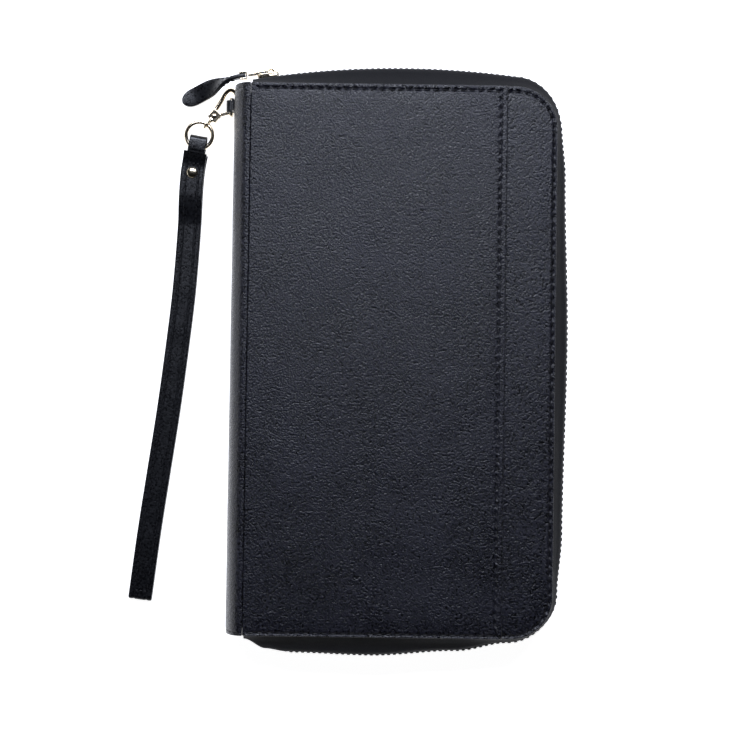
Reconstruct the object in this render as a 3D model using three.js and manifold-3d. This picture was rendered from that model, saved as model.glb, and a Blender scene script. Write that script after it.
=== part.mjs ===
// Zip-around travel document organizer with a leather wrist strap.
// It lies on its back: +Z is up through the closed covers, +Y runs from the foot to the head of the covers,
// and the spine is on the -X side. The origin is the middle of the back cover's outer face.
// Units are millimetres.
import * as THREE from "three";
import { mergeVertices } from "three/addons/utils/BufferGeometryUtils.js";
import Module from "manifold-3d";

// ---------- Driving dimensions ----------

// Covers, closed
const COVER_HEIGHT = 230;
const COVER_WIDTH = 136;
const CLOSED_THICKNESS = 26;
const CORNER_RADIUS = 17.5;
const SPINE_DEPTH = 7; // how far the rounded spine stands out from its fold lines
const FOLD_GAP = 0.8; // between a fold line and the panels beside it

// Materials of the cover, in layers
const LEATHER = 1.3;
const POCKET_LEATHER = 1.1; // the outer slip pocket on the front
const BOARD = 1.0;
const LINING = 0.6;
const LAYER_GAP = 0.15;
const BOARD_INSET = 8;
const LINING_INSET = 1;
const OUTER_POCKET_STRIP = 21; // from the outer pocket's open edge to the cover's free edge

// Zip
const TAPE = 0.6;
const TAPE_FLANGE = 6; // width of tape sewn in under the leather
const TAPE_UPRIGHT = 3; // plain tape between the slope and the teeth
const TEETH_HEIGHT = 1.8;
const TEETH_DEPTH = 2.0;
const TEETH_SPLIT = 0.9; // clear gap between the two rows, where the slider's post runs
const ZIP_FROM_FOLD = 4; // first tooth, at the head and the foot alike
const TAPE_TAIL = 3; // tape past the last tooth
const HEAD_ARC_RADIUS = 377; // the teeth follow this arc along the head
const HEAD_ARC_TOP_X = 4.7;
const HEAD_BULGE = 7.9; // teeth beyond the leather's edge at the top of that arc
const STOP_LENGTH = 1.6;

// Slider and puller
const SLIDER_LENGTH = 9;
const SLIDER_PLATE = 1.1;
const SLIDER_CLEARANCE = 0.35;
const SLIDER_LIP = 1.0;
const SLIDER_POST = 1.6;
const SLIDER_TO_FIRST_TOOTH = 3.5; // its middle at rest
const CROWN_WIRE = 1.3;
const CROWN_SPAN = 5.6;
const LINK_PIN_RADIUS = 0.45;
const LINK_PIN_CLEARANCE = 0.2;
const LINK_LENGTH = 8.5;
const LINK_THICKNESS = 1.2;
const LINK_STEM_HEIGHT = 3;
const CAP_LENGTH = 3.4;
const CAP_HEIGHT = 5.4;
const CAP_WALL = 0.6;
const TAB_LENGTH = 28.5;
const TAB_ROOT_WIDTH = 4.4;
const TAB_WIDTH = 7.4;
const TAB_THICKNESS = 1.8;
const TAB_SIDE_BEND = 6.4; // the tab's tip hangs this far off the link's line, towards the foot
const TAB_TIP_Z = 6.2;

// Ring keeper and D-ring on the spine
const DRING_WIRE = 1.4;
const DRING_SPAN = 7; // between the middles of its two legs
const DRING_FROM_HEAD = 7.4; // its middle, down from the head of the cover
const DRING_BAR_Z = 8.3;
const DRING_LEG = 3.1; // straight part below the bar
const KEEPER_LEATHER = 1.0;
const KEEPER_CLEARANCE = 0.25;
const KEEPER_TAIL = 6.5;

// Snap hook and swivel. The hook lies flat; its points are from the claw's free leg and the D-ring's middle.
const HOOK_Z = 4.7;
const HOOK_WIRE = 1.9;
const HOOK_TO_SPINE = 0.25;
const HOOK_TURN = 49; // direction from the swivel to the nose
const CLAW_POINTS = [
  [-10.4, -2.8],
  [-8.6, 0],
  [-6.6, 3.4],
  [-5.0, 6.3],
  [-3.0, 7.8],
  [-1.0, 7.0],
  [-0.15, 5.0],
  [0, 2.8],
  [0, 0.7],
];
const GATE_PIVOT_POINT = [-9.6, -3.7];
const HOOK_BODY = [4.4, 4.2, 2.6]; // along the swivel's axis, across it, and high
const HOOK_REAR = 1.9; // from the gate's pivot to the body's rear face
const HOOK_COLLAR = 0.3;
const GATE_PIN_RADIUS = 0.5;
const GATE_CLEARANCE = 0.2;
const GATE_WIDTH = 1.5;
const GATE_THICKNESS = 1.1;
const GATE_OPENS = 25; // degrees
const SWIVEL_RADIUS = 0.8;
const SWIVEL_DEPTH = 0.7; // of its stem in the hook's body
const SWIVEL_CLEARANCE = 0.2;
const EYE_RADIUS = 1.75;
const EYE_WIRE = 1.1;

// Round ring
const RING_RADIUS = 5.7;
const RING_WIRE = 1.7;
const RING_TO_EYE = 55; // direction from the ring's middle to the eye, in plan

// Wrist strap
const STRAP_WIDTH = 10;
const STRAP_PLY = 1.25;
const STRAP_PLY_GAP = 0.25;
const TONGUE_WIDTH = 7.4;
const TONGUE_LEATHER = 0.8;
const TONGUE_LENGTH = 17; // of its part between the plies
const TONGUE_TO_RING = 0.55;
const TONGUE_HEAD = 3.4; // how far its fold stands inside the ring's wire
const STRAP_HEAD_LIFT = 0.8; // lifts the riveted end clear of the rivet's foot
const STRAP_TO_RING = 1.2; // from the ring's wire to the plies
const RIVET_FROM_PLIES = 8.6;
const RIVET_CAP_RADIUS = 2.3;
const RIVET_SHAFT_RADIUS = 0.8;
const RIVET_CAP_RISE = 0.8;
const RIVET_RIM = 0.25;
const RIVET_GAP = 0.1;
// Middle line of the strap in plan, from the ring to the far fold: a gentle curve on the table.
const STRAP_COURSE = [
  [0, 0],
  [-1.7, -10.1],
  [-3.0, -35.7],
  [-4.7, -61.3],
  [-7.4, -87.0],
  [-10.5, -112.6],
  [-14.1, -138.2],
  [-17.7, -163.9],
  [-21.3, -193.4],
];

// Inner pockets, each [width, height], and their places on the linings
const POCKET_PANEL = 0.8;
const POCKET_GAP = 0.3;
const POCKET_FROM_SPINE = 6;
const POCKET_FROM_FOOT = 8;
const POCKET_FROM_EDGE = 9;
const DOCUMENT_POCKET_HEIGHT = 156;
const PASSPORT_POCKET_HEIGHT = 108;
const PASSPORT_POCKET_INSET = 2; // narrower than the document pocket, on each side
const TICKET_POCKET_HEIGHT = 98;
const CARD_POCKETS = 4;
const CARD_POCKET_STEP = 13;
const CARD_POCKET = [92, 62];
const CARDS_FROM_HEAD = 15;

// ---------- Sizes worked out from them ----------

const RIGHT_X = COVER_WIDTH / 2;
const HEAD_Y = COVER_HEIGHT / 2;
const FOLD_X = -COVER_WIDTH / 2 + SPINE_DEPTH;
const PANEL_LEFT_X = FOLD_X + FOLD_GAP;
const MID_Z = CLOSED_THICKNESS / 2;
const BOARD_Z = LEATHER + LAYER_GAP;
const TAPE_Z = BOARD_Z;
const LINING_Z = BOARD_Z + BOARD + LAYER_GAP;
const INNER_Z = LINING_Z + LINING;
const ZIP_START_X = FOLD_X + ZIP_FROM_FOLD;
const SLIDER_REST_X = ZIP_START_X + SLIDER_TO_FIRST_TOOTH;
const HEAD_ARC_CENTRE_Y = HEAD_Y + HEAD_BULGE - HEAD_ARC_RADIUS;
const rad = THREE.MathUtils.degToRad;

// ---------- Materials ----------

const material = (color, roughness, metalness = 0) =>
  new THREE.MeshStandardMaterial({ color, roughness, metalness });
const leather = material(0x1b1b20, 0.45);
const pocketLeather = material(0x1d1d22, 0.5);
const strapLeather = material(0x17171b, 0.4);
const lining = material(0x1a1a1c, 0.85);
const board = material(0x8c7a62, 0.9);
const tape = material(0x141416, 0.9);
const teeth = material(0x1c1c1e, 0.35, 0.6);
const gold = material(0xd9bd7c, 0.2, 1);

// ---------- Helpers ----------

const wasm = await Module();
wasm.setup();

const group = new THREE.Group();

// Adds one named piece, with its faces turned outwards.
function piece(name, geometry, surface, place = null) {
  const mesh = new THREE.Mesh(facingOut(geometry), surface);
  mesh.name = name;
  (place ?? group).add(mesh);
  return mesh;
}

// A closed geometry with position only, whose signed volume is positive.
function facingOut(geometry) {
  const bare = new THREE.BufferGeometry().setAttribute("position", geometry.getAttribute("position"));
  if (geometry.index) bare.setIndex(geometry.index);
  const merged = mergeVertices(bare, 1e-4);
  const index = merged.index.array;
  const at = merged.getAttribute("position");
  const [a, b, c] = [new THREE.Vector3(), new THREE.Vector3(), new THREE.Vector3()];
  let volume = 0;
  for (let i = 0; i < index.length; i += 3) {
    a.fromBufferAttribute(at, index[i]);
    b.fromBufferAttribute(at, index[i + 1]);
    c.fromBufferAttribute(at, index[i + 2]);
    volume += a.dot(b.cross(c));
  }
  for (let i = 0; volume < 0 && i < index.length; i += 3) {
    [index[i + 1], index[i + 2]] = [index[i + 2], index[i + 1]];
  }
  return merged;
}

function solid(geometry) {
  const closed = facingOut(geometry);
  return new wasm.Manifold(
    new wasm.Mesh({
      numProp: 3,
      vertProperties: new Float32Array(closed.getAttribute("position").array),
      triVerts: new Uint32Array(closed.index.array),
    }),
  );
}

function geometryOf(manifold) {
  const mesh = manifold.getMesh();
  const positions = new Float32Array(mesh.numVert * 3);
  for (let i = 0; i < mesh.numVert; i++) {
    positions.set(mesh.vertProperties.subarray(i * mesh.numProp, i * mesh.numProp + 3), i * 3);
  }
  return new THREE.BufferGeometry()
    .setAttribute("position", new THREE.BufferAttribute(positions, 3))
    .setIndex(new THREE.BufferAttribute(new Uint32Array(mesh.triVerts), 1));
}

const cut = (geometry, ...tools) =>
  geometryOf(tools.reduce((left, tool) => left.subtract(solid(tool)), solid(geometry)));
const join = (...geometries) => geometryOf(geometries.map(solid).reduce((sum, next) => sum.add(next)));

// A flat sheet of the given outline between two heights.
function sheet(outline, bottom, thickness, curveSegments = 10) {
  const options = { depth: thickness, bevelEnabled: false, curveSegments };
  return new THREE.ExtrudeGeometry(outline, options).translate(0, 0, bottom);
}

// A closed skin through equal rings of points, with a flat cap on each end.
function loft(rings) {
  const count = rings[0].length;
  const positions = rings.flat().flatMap((p) => [p.x, p.y, p.z]);
  const index = [];
  for (let r = 0; r + 1 < rings.length; r++) {
    for (let i = 0; i < count; i++) {
      const [a, b] = [r * count + i, r * count + ((i + 1) % count)];
      index.push(a, b, b + count, a, b + count, a + count);
    }
  }
  const last = (rings.length - 1) * count;
  for (const [a, b, c] of capTriangles(rings[0])) {
    index.push(c, b, a);
    index.push(last + a, last + b, last + c);
  }
  return new THREE.BufferGeometry()
    .setAttribute("position", new THREE.Float32BufferAttribute(positions, 3))
    .setIndex(index);
}

// Triangles of a flat ring of points, wound as the ring runs.
function capTriangles(ring) {
  const normal = new THREE.Vector3();
  ring.forEach((p, i) => normal.add(new THREE.Vector3().crossVectors(p, ring[(i + 1) % ring.length])));
  normal.normalize();
  const toFlat = new THREE.Quaternion().setFromUnitVectors(normal, new THREE.Vector3(0, 0, 1));
  const flat = ring.map((p) => p.clone().applyQuaternion(toFlat)).map((p) => new THREE.Vector2(p.x, p.y));
  return THREE.ShapeUtils.triangulateShape(flat, []);
}

// A round wire along a curve.
function wire(curve, radius, steps, sides = 10) {
  const circle = new THREE.Shape();
  circle.absarc(0, 0, radius, 0, 2 * Math.PI);
  const options = { extrudePath: curve, steps, curveSegments: sides, bevelEnabled: false };
  return new THREE.ExtrudeGeometry(circle, options);
}

// A cylinder along Z between two heights.
function post(x, y, bottom, top, radius, sides = 20) {
  return new THREE.CylinderGeometry(radius, radius, top - bottom, sides)
    .rotateX(Math.PI / 2)
    .translate(x, y, (bottom + top) / 2);
}

const box = (x, y, z, dx, dy, dz) => new THREE.BoxGeometry(dx, dy, dz).translate(x, y, z);

// ---------- Covers ----------

// Outline of a cover panel: square at the spine, round at the two free corners.
function coverOutline(inset, left = PANEL_LEFT_X, right = RIGHT_X) {
  const [head, edge] = [HEAD_Y - inset, right - inset];
  const radius = Math.max(CORNER_RADIUS - inset, 1);
  const shape = new THREE.Shape();
  shape.moveTo(left, -head);
  shape.lineTo(edge - radius, -head);
  shape.absarc(edge - radius, -head + radius, radius, -Math.PI / 2, 0);
  shape.lineTo(edge, head - radius);
  shape.absarc(edge - radius, head - radius, radius, 0, Math.PI / 2);
  shape.lineTo(left, head);
  return shape;
}

function plainOutline(left, right, foot, head) {
  const shape = new THREE.Shape();
  shape.moveTo(left, foot);
  shape.lineTo(right, foot);
  shape.lineTo(right, head);
  shape.lineTo(left, head);
  return shape;
}

// The layers of a cover lie the same way in from its outer face, on the back and on the front.
const onFront = (z, thickness) => CLOSED_THICKNESS - POCKET_LEATHER - LAYER_GAP - z - thickness;
const FRONT_INNER_Z = onFront(LINING_Z, LINING);

piece("back_leather", sheet(coverOutline(0), 0, LEATHER), leather);
const boardOutline = coverOutline(BOARD_INSET, PANEL_LEFT_X + 1);
const liningOutline = coverOutline(LINING_INSET, PANEL_LEFT_X + 0.6);
piece("back_board", sheet(boardOutline, BOARD_Z, BOARD), board);
piece("back_lining", sheet(liningOutline, LINING_Z, LINING), lining);

piece("front_leather", sheet(coverOutline(0), onFront(0, LEATHER), LEATHER), leather);
piece("front_board", sheet(boardOutline, onFront(BOARD_Z, BOARD), BOARD), board);
piece("front_lining", sheet(liningOutline, FRONT_INNER_Z, LINING), lining);
const outerPocketOutline = plainOutline(PANEL_LEFT_X, RIGHT_X - OUTER_POCKET_STRIP, -HEAD_Y, HEAD_Y);
piece(
  "front_outer_pocket",
  sheet(outerPocketOutline, CLOSED_THICKNESS - POCKET_LEATHER, POCKET_LEATHER),
  leather,
);

// ---------- Spine ----------

// One wall of the rounded spine: half an ellipse in the XZ plane, between two depths in from the outer face.
function spineWall(outerInset, thickness, halfHeight) {
  const ring = [];
  const steps = 14;
  for (const inset of [outerInset, outerInset + thickness]) {
    const arc = [];
    for (let i = 0; i <= steps; i++) {
      const angle = Math.PI / 2 + (Math.PI * i) / steps;
      arc.push(
        new THREE.Vector2(
          FOLD_X + (SPINE_DEPTH - inset) * Math.cos(angle),
          MID_Z + (MID_Z - inset) * Math.sin(angle),
        ),
      );
    }
    ring.push(...(inset === outerInset ? arc : arc.reverse()));
  }
  const rings = [-halfHeight, halfHeight].map((y) => ring.map((p) => new THREE.Vector3(p.x, y, p.y)));
  return loft(rings);
}
piece("spine_leather", spineWall(0, LEATHER, HEAD_Y), leather);
piece("spine_lining", spineWall(LEATHER + LAYER_GAP, LINING, HEAD_Y - LINING_INSET), lining);

// ---------- Zip ----------

const headBulge = (x) => {
  const across = x - HEAD_ARC_TOP_X;
  return HEAD_ARC_CENTRE_Y + Math.sqrt(HEAD_ARC_RADIUS ** 2 - across ** 2) - HEAD_Y;
};

// How far the teeth stand beyond the leather's edge round the free side and the foot:
// [share of the way, bulge].
const FREE_BULGE = [
  [0, headBulge(RIGHT_X - CORNER_RADIUS)],
  [0.07, 2.0],
  [0.13, 3.6],
  [0.32, 5.2],
  [0.55, 3.8],
  [0.62, 2.0],
  [0.66, 1.1],
  [0.7, 1.8],
  [0.76, 5.4],
  [0.86, 7.8],
  [0.95, 7.0],
  [0.975, 5.8],
  [1, 1.8],
];
function freeBulge(share) {
  const next = Math.max(1, FREE_BULGE.findIndex(([at]) => at >= share));
  const [[fromAt, from], [toAt, to]] = [FREE_BULGE[next - 1], FREE_BULGE[next]];
  const way = THREE.MathUtils.smoothstep(share, fromAt, toAt);
  return from + (to - from) * way;
}

// Stations round the cover's edge, from the head at the spine to the foot at the spine.
// Each has a point on the leather's edge, the outward normal and the bulge of the teeth.
function zipStations(startX) {
  const stations = [];
  const cornerX = RIGHT_X - CORNER_RADIUS;
  const cornerY = HEAD_Y - CORNER_RADIUS;
  const spread = (count, place) => {
    for (let i = 0; i < count; i++) stations.push(place(i / count));
  };
  const head = 15;
  spread(head, (t) => ({ x: startX + (cornerX - startX) * t, y: HEAD_Y, nx: 0, ny: 1 }));
  const corner = (centreY, from) => (t) => {
    const angle = from - (t * Math.PI) / 2;
    const [nx, ny] = [Math.cos(angle), Math.sin(angle)];
    return { x: cornerX + CORNER_RADIUS * nx, y: centreY + CORNER_RADIUS * ny, nx, ny };
  };
  spread(8, corner(cornerY, Math.PI / 2));
  spread(14, (t) => ({ x: RIGHT_X, y: cornerY - 2 * cornerY * t, nx: 1, ny: 0 }));
  spread(8, corner(-cornerY, 0));
  spread(20, (t) => ({ x: cornerX + (startX - cornerX) * t, y: -HEAD_Y, nx: 0, ny: -1 }));
  stations.push({ x: startX, y: -HEAD_Y, nx: 0, ny: -1 });

  const free = stations.slice(head);
  const lengths = free.map((s, i) => (i ? Math.hypot(s.x - free[i - 1].x, s.y - free[i - 1].y) : 0));
  const whole = lengths.reduce((sum, l) => sum + l);
  let gone = 0;
  stations.forEach((s, i) => {
    if (i >= head) gone += lengths[i - head];
    s.bulge = i < head ? headBulge(s.x) : freeBulge(gone / whole);
  });
  return stations;
}

// Sweeps a section round the edge. section(bulge) gives [outward, height] pairs.
function roundTheEdge(section, startX, mirror = (z) => z) {
  const stations = zipStations(startX);
  const rings = stations.map((s) =>
    section(s.bulge).map(([out, z]) => new THREE.Vector3(s.x + s.nx * out, s.y + s.ny * out, mirror(z))),
  );
  return loft(rings);
}

const TEETH_LOW_Z = MID_Z - TEETH_SPLIT / 2 - TEETH_HEIGHT;
const TAPE_TOP_Z = TEETH_LOW_Z - 0.25;
const UPRIGHT_Z = TAPE_TOP_Z - TAPE_UPRIGHT;

// Tape of the back half: sewn flange, slope out to the bulge, and the upright that carries the teeth.
const tapeSection = (bulge) => [
  [-TAPE_FLANGE, TAPE_Z],
  [-0.1, TAPE_Z],
  [bulge + TAPE / 2, UPRIGHT_Z],
  [bulge + TAPE / 2, TAPE_TOP_Z],
  [bulge - TAPE / 2, TAPE_TOP_Z],
  [bulge - TAPE / 2, UPRIGHT_Z + 0.3],
  [-0.55, TAPE_Z + TAPE],
  [-TAPE_FLANGE, TAPE_Z + TAPE],
];
const teethSection = (bulge) => [
  [bulge - TEETH_DEPTH / 2, TEETH_LOW_Z],
  [bulge + TEETH_DEPTH / 2, TEETH_LOW_Z],
  [bulge + TEETH_DEPTH / 2, TEETH_LOW_Z + TEETH_HEIGHT],
  [bulge - TEETH_DEPTH / 2, TEETH_LOW_Z + TEETH_HEIGHT],
];
const FRONT_FLANGE_DROP = POCKET_LEATHER + LAYER_GAP;
// The front half is the mirror of the back half about the closing plane, sewn in under its thicker cover.
const frontTape = (z) => 2 * MID_Z - z - (z < UPRIGHT_Z ? FRONT_FLANGE_DROP : 0);
const frontTeeth = (z) => 2 * MID_Z - z;

piece("back_zip_tape", roundTheEdge(tapeSection, ZIP_START_X - TAPE_TAIL), tape);
piece("back_zip_teeth", roundTheEdge(teethSection, ZIP_START_X), teeth);
piece("front_zip_tape", roundTheEdge(tapeSection, ZIP_START_X - TAPE_TAIL, frontTape), tape);
piece("front_zip_teeth", roundTheEdge(teethSection, ZIP_START_X, frontTeeth), teeth);

// End stops: one metal clip past the last tooth of each row, and a box that ties both rows at the foot.
const STOP_GAP = 0.3;
const stopX = ZIP_START_X - STOP_GAP - STOP_LENGTH / 2;
const headStopY = HEAD_Y + headBulge(stopX);
for (const [name, z] of [
  ["back_top_stop", TEETH_LOW_Z + TEETH_HEIGHT / 2],
  ["front_top_stop", 2 * MID_Z - TEETH_LOW_Z - TEETH_HEIGHT / 2],
]) {
  piece(name, box(stopX, headStopY, z, STOP_LENGTH, TEETH_DEPTH - 0.4, TEETH_HEIGHT - 0.4), teeth);
}
const footStopY = -HEAD_Y - freeBulge(1);
piece(
  "bottom_stop",
  box(stopX, footStopY, MID_Z, STOP_LENGTH, TEETH_DEPTH, 2 * TEETH_HEIGHT + TEETH_SPLIT),
  teeth,
);

// ---------- Zip slider and puller ----------

// The slider's own frame: x along the teeth, y outwards, z as the part's, centred on the teeth.
const sliderAngle = -Math.asin((SLIDER_REST_X - HEAD_ARC_TOP_X) / HEAD_ARC_RADIUS);
const sliderY = HEAD_Y + headBulge(SLIDER_REST_X);
const slider = new THREE.Group();
slider.position.set(SLIDER_REST_X, sliderY, MID_Z);
slider.rotation.z = sliderAngle;
group.add(slider);

const CHANNEL_Y = TEETH_DEPTH / 2 + SLIDER_CLEARANCE;
const CHANNEL_Z = TEETH_HEIGHT + TEETH_SPLIT / 2 + SLIDER_CLEARANCE;
const PLATE_HALF_Z = CHANNEL_Z + SLIDER_PLATE;
const TAPE_SLOT = TAPE / 2 + SLIDER_CLEARANCE;
const FACE_Y = CHANNEL_Y + SLIDER_PLATE;
const LINK_PIN_Y = FACE_Y + LINK_PIN_CLEARANCE + LINK_PIN_RADIUS;
const CROWN_TOP_Y = LINK_PIN_Y + LINK_PIN_RADIUS + LINK_PIN_CLEARANCE + CROWN_WIRE / 2;

function sliderPlate(side) {
  const shape = new THREE.Shape();
  const [half, nose] = [SLIDER_LENGTH / 2, PLATE_HALF_Z * 0.8];
  shape.moveTo(-half + 1, -PLATE_HALF_Z);
  shape.lineTo(half, -nose);
  shape.lineTo(half, nose);
  shape.lineTo(-half + 1, PLATE_HALF_Z);
  shape.quadraticCurveTo(-half - 0.5, PLATE_HALF_Z * 0.7, -half, 0);
  shape.quadraticCurveTo(-half - 0.5, -PLATE_HALF_Z * 0.7, -half + 1, -PLATE_HALF_Z);
  const plate = sheet(shape, 0, SLIDER_PLATE, 5).rotateX(Math.PI / 2);
  return plate.translate(0, side > 0 ? FACE_Y : -CHANNEL_Y, 0);
}
const lips = [];
for (const sideY of [-1, 1]) {
  for (const sideZ of [-1, 1]) {
    const depth = CHANNEL_Y - TAPE_SLOT + 0.05;
    lips.push(
      box(
        0.5,
        sideY * (TAPE_SLOT + depth / 2),
        sideZ * (CHANNEL_Z + SLIDER_LIP / 2 - 0.1),
        SLIDER_LENGTH - 2.4,
        depth,
        SLIDER_LIP - 0.3,
      ),
    );
  }
}
const sliderPost = box(
  -SLIDER_LENGTH / 2 + SLIDER_POST / 2 + 0.4,
  0,
  0,
  SLIDER_POST,
  2 * CHANNEL_Y + 0.2,
  TEETH_SPLIT - 2 * 0.2,
);
// The crown is a low bridge along the plate; the link's pin lies under it.
const crownHalf = CROWN_SPAN / 2;
const crownCurve = new THREE.CatmullRomCurve3(
  [
    [-crownHalf, FACE_Y - 0.6],
    [-crownHalf, CROWN_TOP_Y - 0.8],
    [-crownHalf + 0.8, CROWN_TOP_Y],
    [0, CROWN_TOP_Y],
    [crownHalf - 0.8, CROWN_TOP_Y],
    [crownHalf, CROWN_TOP_Y - 0.8],
    [crownHalf, FACE_Y - 0.6],
  ].map(([x, y]) => new THREE.Vector3(x, y, 0)),
);
piece(
  "zip_slider",
  join(sliderPlate(1), sliderPlate(-1), ...lips, sliderPost, wire(crownCurve, CROWN_WIRE / 2, 14, 8)),
  gold,
  slider,
);

// The puller's own frame: x towards its tip, y towards the foot, z as the part's.
// It lies along the slider's face.
const puller = new THREE.Group();
puller.position.set(0, LINK_PIN_Y, 0);
puller.rotation.z = Math.PI;
slider.add(puller);

// The link straddles the crown: two cheeks, a pin under the crown, a bridge and a stem to the cap.
const cheekZ = CROWN_WIRE / 2 + SLIDER_CLEARANCE + LINK_THICKNESS / 2;
const bridgeStart = crownHalf + CROWN_WIRE / 2 + SLIDER_CLEARANCE;
const bridgeEnd = bridgeStart + LINK_THICKNESS;
const linkHalf = LINK_THICKNESS / 2;
const linkParts = [post(0, 0, -cheekZ, cheekZ, LINK_PIN_RADIUS, 12)];
for (const z of [-cheekZ, cheekZ]) {
  linkParts.push(post(0, 0, z - linkHalf, z + linkHalf, linkHalf, 12));
  linkParts.push(box(bridgeEnd / 2, 0, z, bridgeEnd, LINK_THICKNESS, LINK_THICKNESS));
}
const bridgeHeight = 2 * (cheekZ + linkHalf);
linkParts.push(box((bridgeStart + bridgeEnd) / 2, 0, 0, LINK_THICKNESS, LINK_THICKNESS, bridgeHeight));
const stemStart = bridgeEnd - 0.2;
linkParts.push(
  box((stemStart + LINK_LENGTH) / 2, 0, 0, LINK_LENGTH - stemStart, LINK_THICKNESS, LINK_STEM_HEIGHT),
);
piece("puller_link", join(...linkParts), gold, puller);

// A folded metal cap joins the link's stem to the leather tab.
const capStart = LINK_LENGTH + STOP_GAP;
const tabStart = capStart + CAP_WALL + STOP_GAP;
const capThickness = TAB_THICKNESS + 2 * (CAP_WALL + LAYER_GAP);
const slotThickness = TAB_THICKNESS + 2 * LAYER_GAP;
const capBody = box(capStart + CAP_LENGTH / 2, 0, 0, CAP_LENGTH, capThickness, CAP_HEIGHT);
const capSlot = box(capStart + CAP_WALL + CAP_LENGTH, 0, 0, 2 * CAP_LENGTH, slotThickness, CAP_HEIGHT + 2);
piece("puller_cap", cut(capBody, capSlot), gold, puller);

// The leather tab leaves the cap on edge, then twists flat while it droops and bends towards the foot.
function pullerTab() {
  const steps = 22;
  const capShare = (capStart + CAP_LENGTH + STOP_GAP - tabStart) / TAB_LENGTH;
  const middle = (t) =>
    new THREE.Vector3(
      tabStart + t * TAB_LENGTH,
      TAB_SIDE_BEND * Math.max(0, (t - capShare) / (1 - capShare)) ** 1.5,
      THREE.MathUtils.smoothstep(t, capShare, 0.85) * (TAB_TIP_Z - MID_Z),
    );
  const rings = [];
  for (let i = 0; i <= steps; i++) {
    const t = i / steps;
    const along = middle(t + 0.01).sub(middle(t - 0.01)).normalize();
    const side = new THREE.Vector3(-along.y, along.x, 0).normalize();
    const up = new THREE.Vector3().crossVectors(along, side);
    const turn = (THREE.MathUtils.smoothstep(t, capShare, 0.68) * Math.PI) / 2;
    const widening = THREE.MathUtils.smoothstep(t, capShare, 0.6);
    const rounding = Math.sqrt(Math.max(0.03, 1 - Math.max(0, (t - 0.85) / 0.15) ** 2));
    const half = ((TAB_ROOT_WIDTH + (TAB_WIDTH - TAB_ROOT_WIDTH) * widening) * rounding) / 2;
    const corners = [
      [-1, -1],
      [1, -1],
      [1, 1],
      [-1, 1],
    ];
    rings.push(
      corners.map(([w, h]) =>
        middle(t)
          .addScaledVector(up, w * half * Math.cos(turn) - (h * TAB_THICKNESS * Math.sin(turn)) / 2)
          .addScaledVector(side, w * half * Math.sin(turn) + (h * TAB_THICKNESS * Math.cos(turn)) / 2),
      ),
    );
  }
  return loft(rings);
}
piece("puller_tab", pullerTab(), strapLeather, puller);

// ---------- Ring keeper and D-ring ----------

const spineFaceX = (z) => FOLD_X - SPINE_DEPTH * Math.sqrt(1 - ((z - MID_Z) / MID_Z) ** 2);
const KEEPER_X = spineFaceX(MID_Z) - LAYER_GAP;
const DRING_X = KEEPER_X - KEEPER_LEATHER - DRING_WIRE / 2;
const DRING_Y = HEAD_Y - DRING_FROM_HEAD;

// The keeper is a leather loop round the D-ring's bar, with its tail stitched up the spine.
function keeperShape() {
  const outer = DRING_WIRE / 2 + KEEPER_CLEARANCE + KEEPER_LEATHER;
  const tailTop = DRING_BAR_Z + KEEPER_TAIL;
  const shape = new THREE.Shape();
  shape.moveTo(KEEPER_X, tailTop);
  shape.lineTo(KEEPER_X - KEEPER_LEATHER, tailTop);
  shape.lineTo(KEEPER_X - KEEPER_LEATHER, DRING_BAR_Z + outer);
  shape.lineTo(DRING_X, DRING_BAR_Z + outer);
  shape.absarc(DRING_X, DRING_BAR_Z, outer, Math.PI / 2, (3 * Math.PI) / 2);
  shape.lineTo(KEEPER_X, DRING_BAR_Z - KEEPER_LEATHER);
  const tunnel = new THREE.Path();
  tunnel.absarc(DRING_X, DRING_BAR_Z, DRING_WIRE / 2 + KEEPER_CLEARANCE, 0, 2 * Math.PI);
  shape.holes.push(tunnel);
  return shape;
}
const keeperWidth = DRING_SPAN - DRING_WIRE - 2 * KEEPER_CLEARANCE;
const keeper = sheet(keeperShape(), 0, keeperWidth, 8)
  .rotateX(Math.PI / 2)
  .translate(0, DRING_Y + keeperWidth / 2, 0);
piece("ring_keeper", keeper, strapLeather);

function dRing() {
  const half = DRING_SPAN / 2;
  const bowZ = DRING_BAR_Z - DRING_LEG;
  const points = [new THREE.Vector3(DRING_X, DRING_Y + half, DRING_BAR_Z)];
  for (let i = 0; i <= 8; i++) {
    const angle = (Math.PI * i) / 8;
    points.push(new THREE.Vector3(DRING_X, DRING_Y + half * Math.cos(angle), bowZ - half * Math.sin(angle)));
  }
  points.push(new THREE.Vector3(DRING_X, DRING_Y - half, DRING_BAR_Z));
  const bow = new THREE.CatmullRomCurve3(points, false, "catmullrom", 0.3);
  const bar = new THREE.CylinderGeometry(DRING_WIRE / 2, DRING_WIRE / 2, DRING_SPAN + DRING_WIRE, 10);
  return join(bar.translate(DRING_X, DRING_Y, DRING_BAR_Z), wire(bow, DRING_WIRE / 2, 26, 8));
}
piece("d_ring", dRing(), gold);

// ---------- Snap hook ----------

const hookX = spineFaceX(HOOK_Z) - HOOK_TO_SPINE - HOOK_WIRE / 2;
const hookAt = ([x, y]) => new THREE.Vector3(hookX + x, DRING_Y + y, HOOK_Z);
const clawCurve = new THREE.CatmullRomCurve3(CLAW_POINTS.map(hookAt));
const clawTip = hookAt(CLAW_POINTS[CLAW_POINTS.length - 1]);
const tipRadius = HOOK_WIRE / 2 + 0.1;
const tipBall = new THREE.SphereGeometry(tipRadius, 10, 8).translate(clawTip.x, clawTip.y, clawTip.z);

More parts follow.
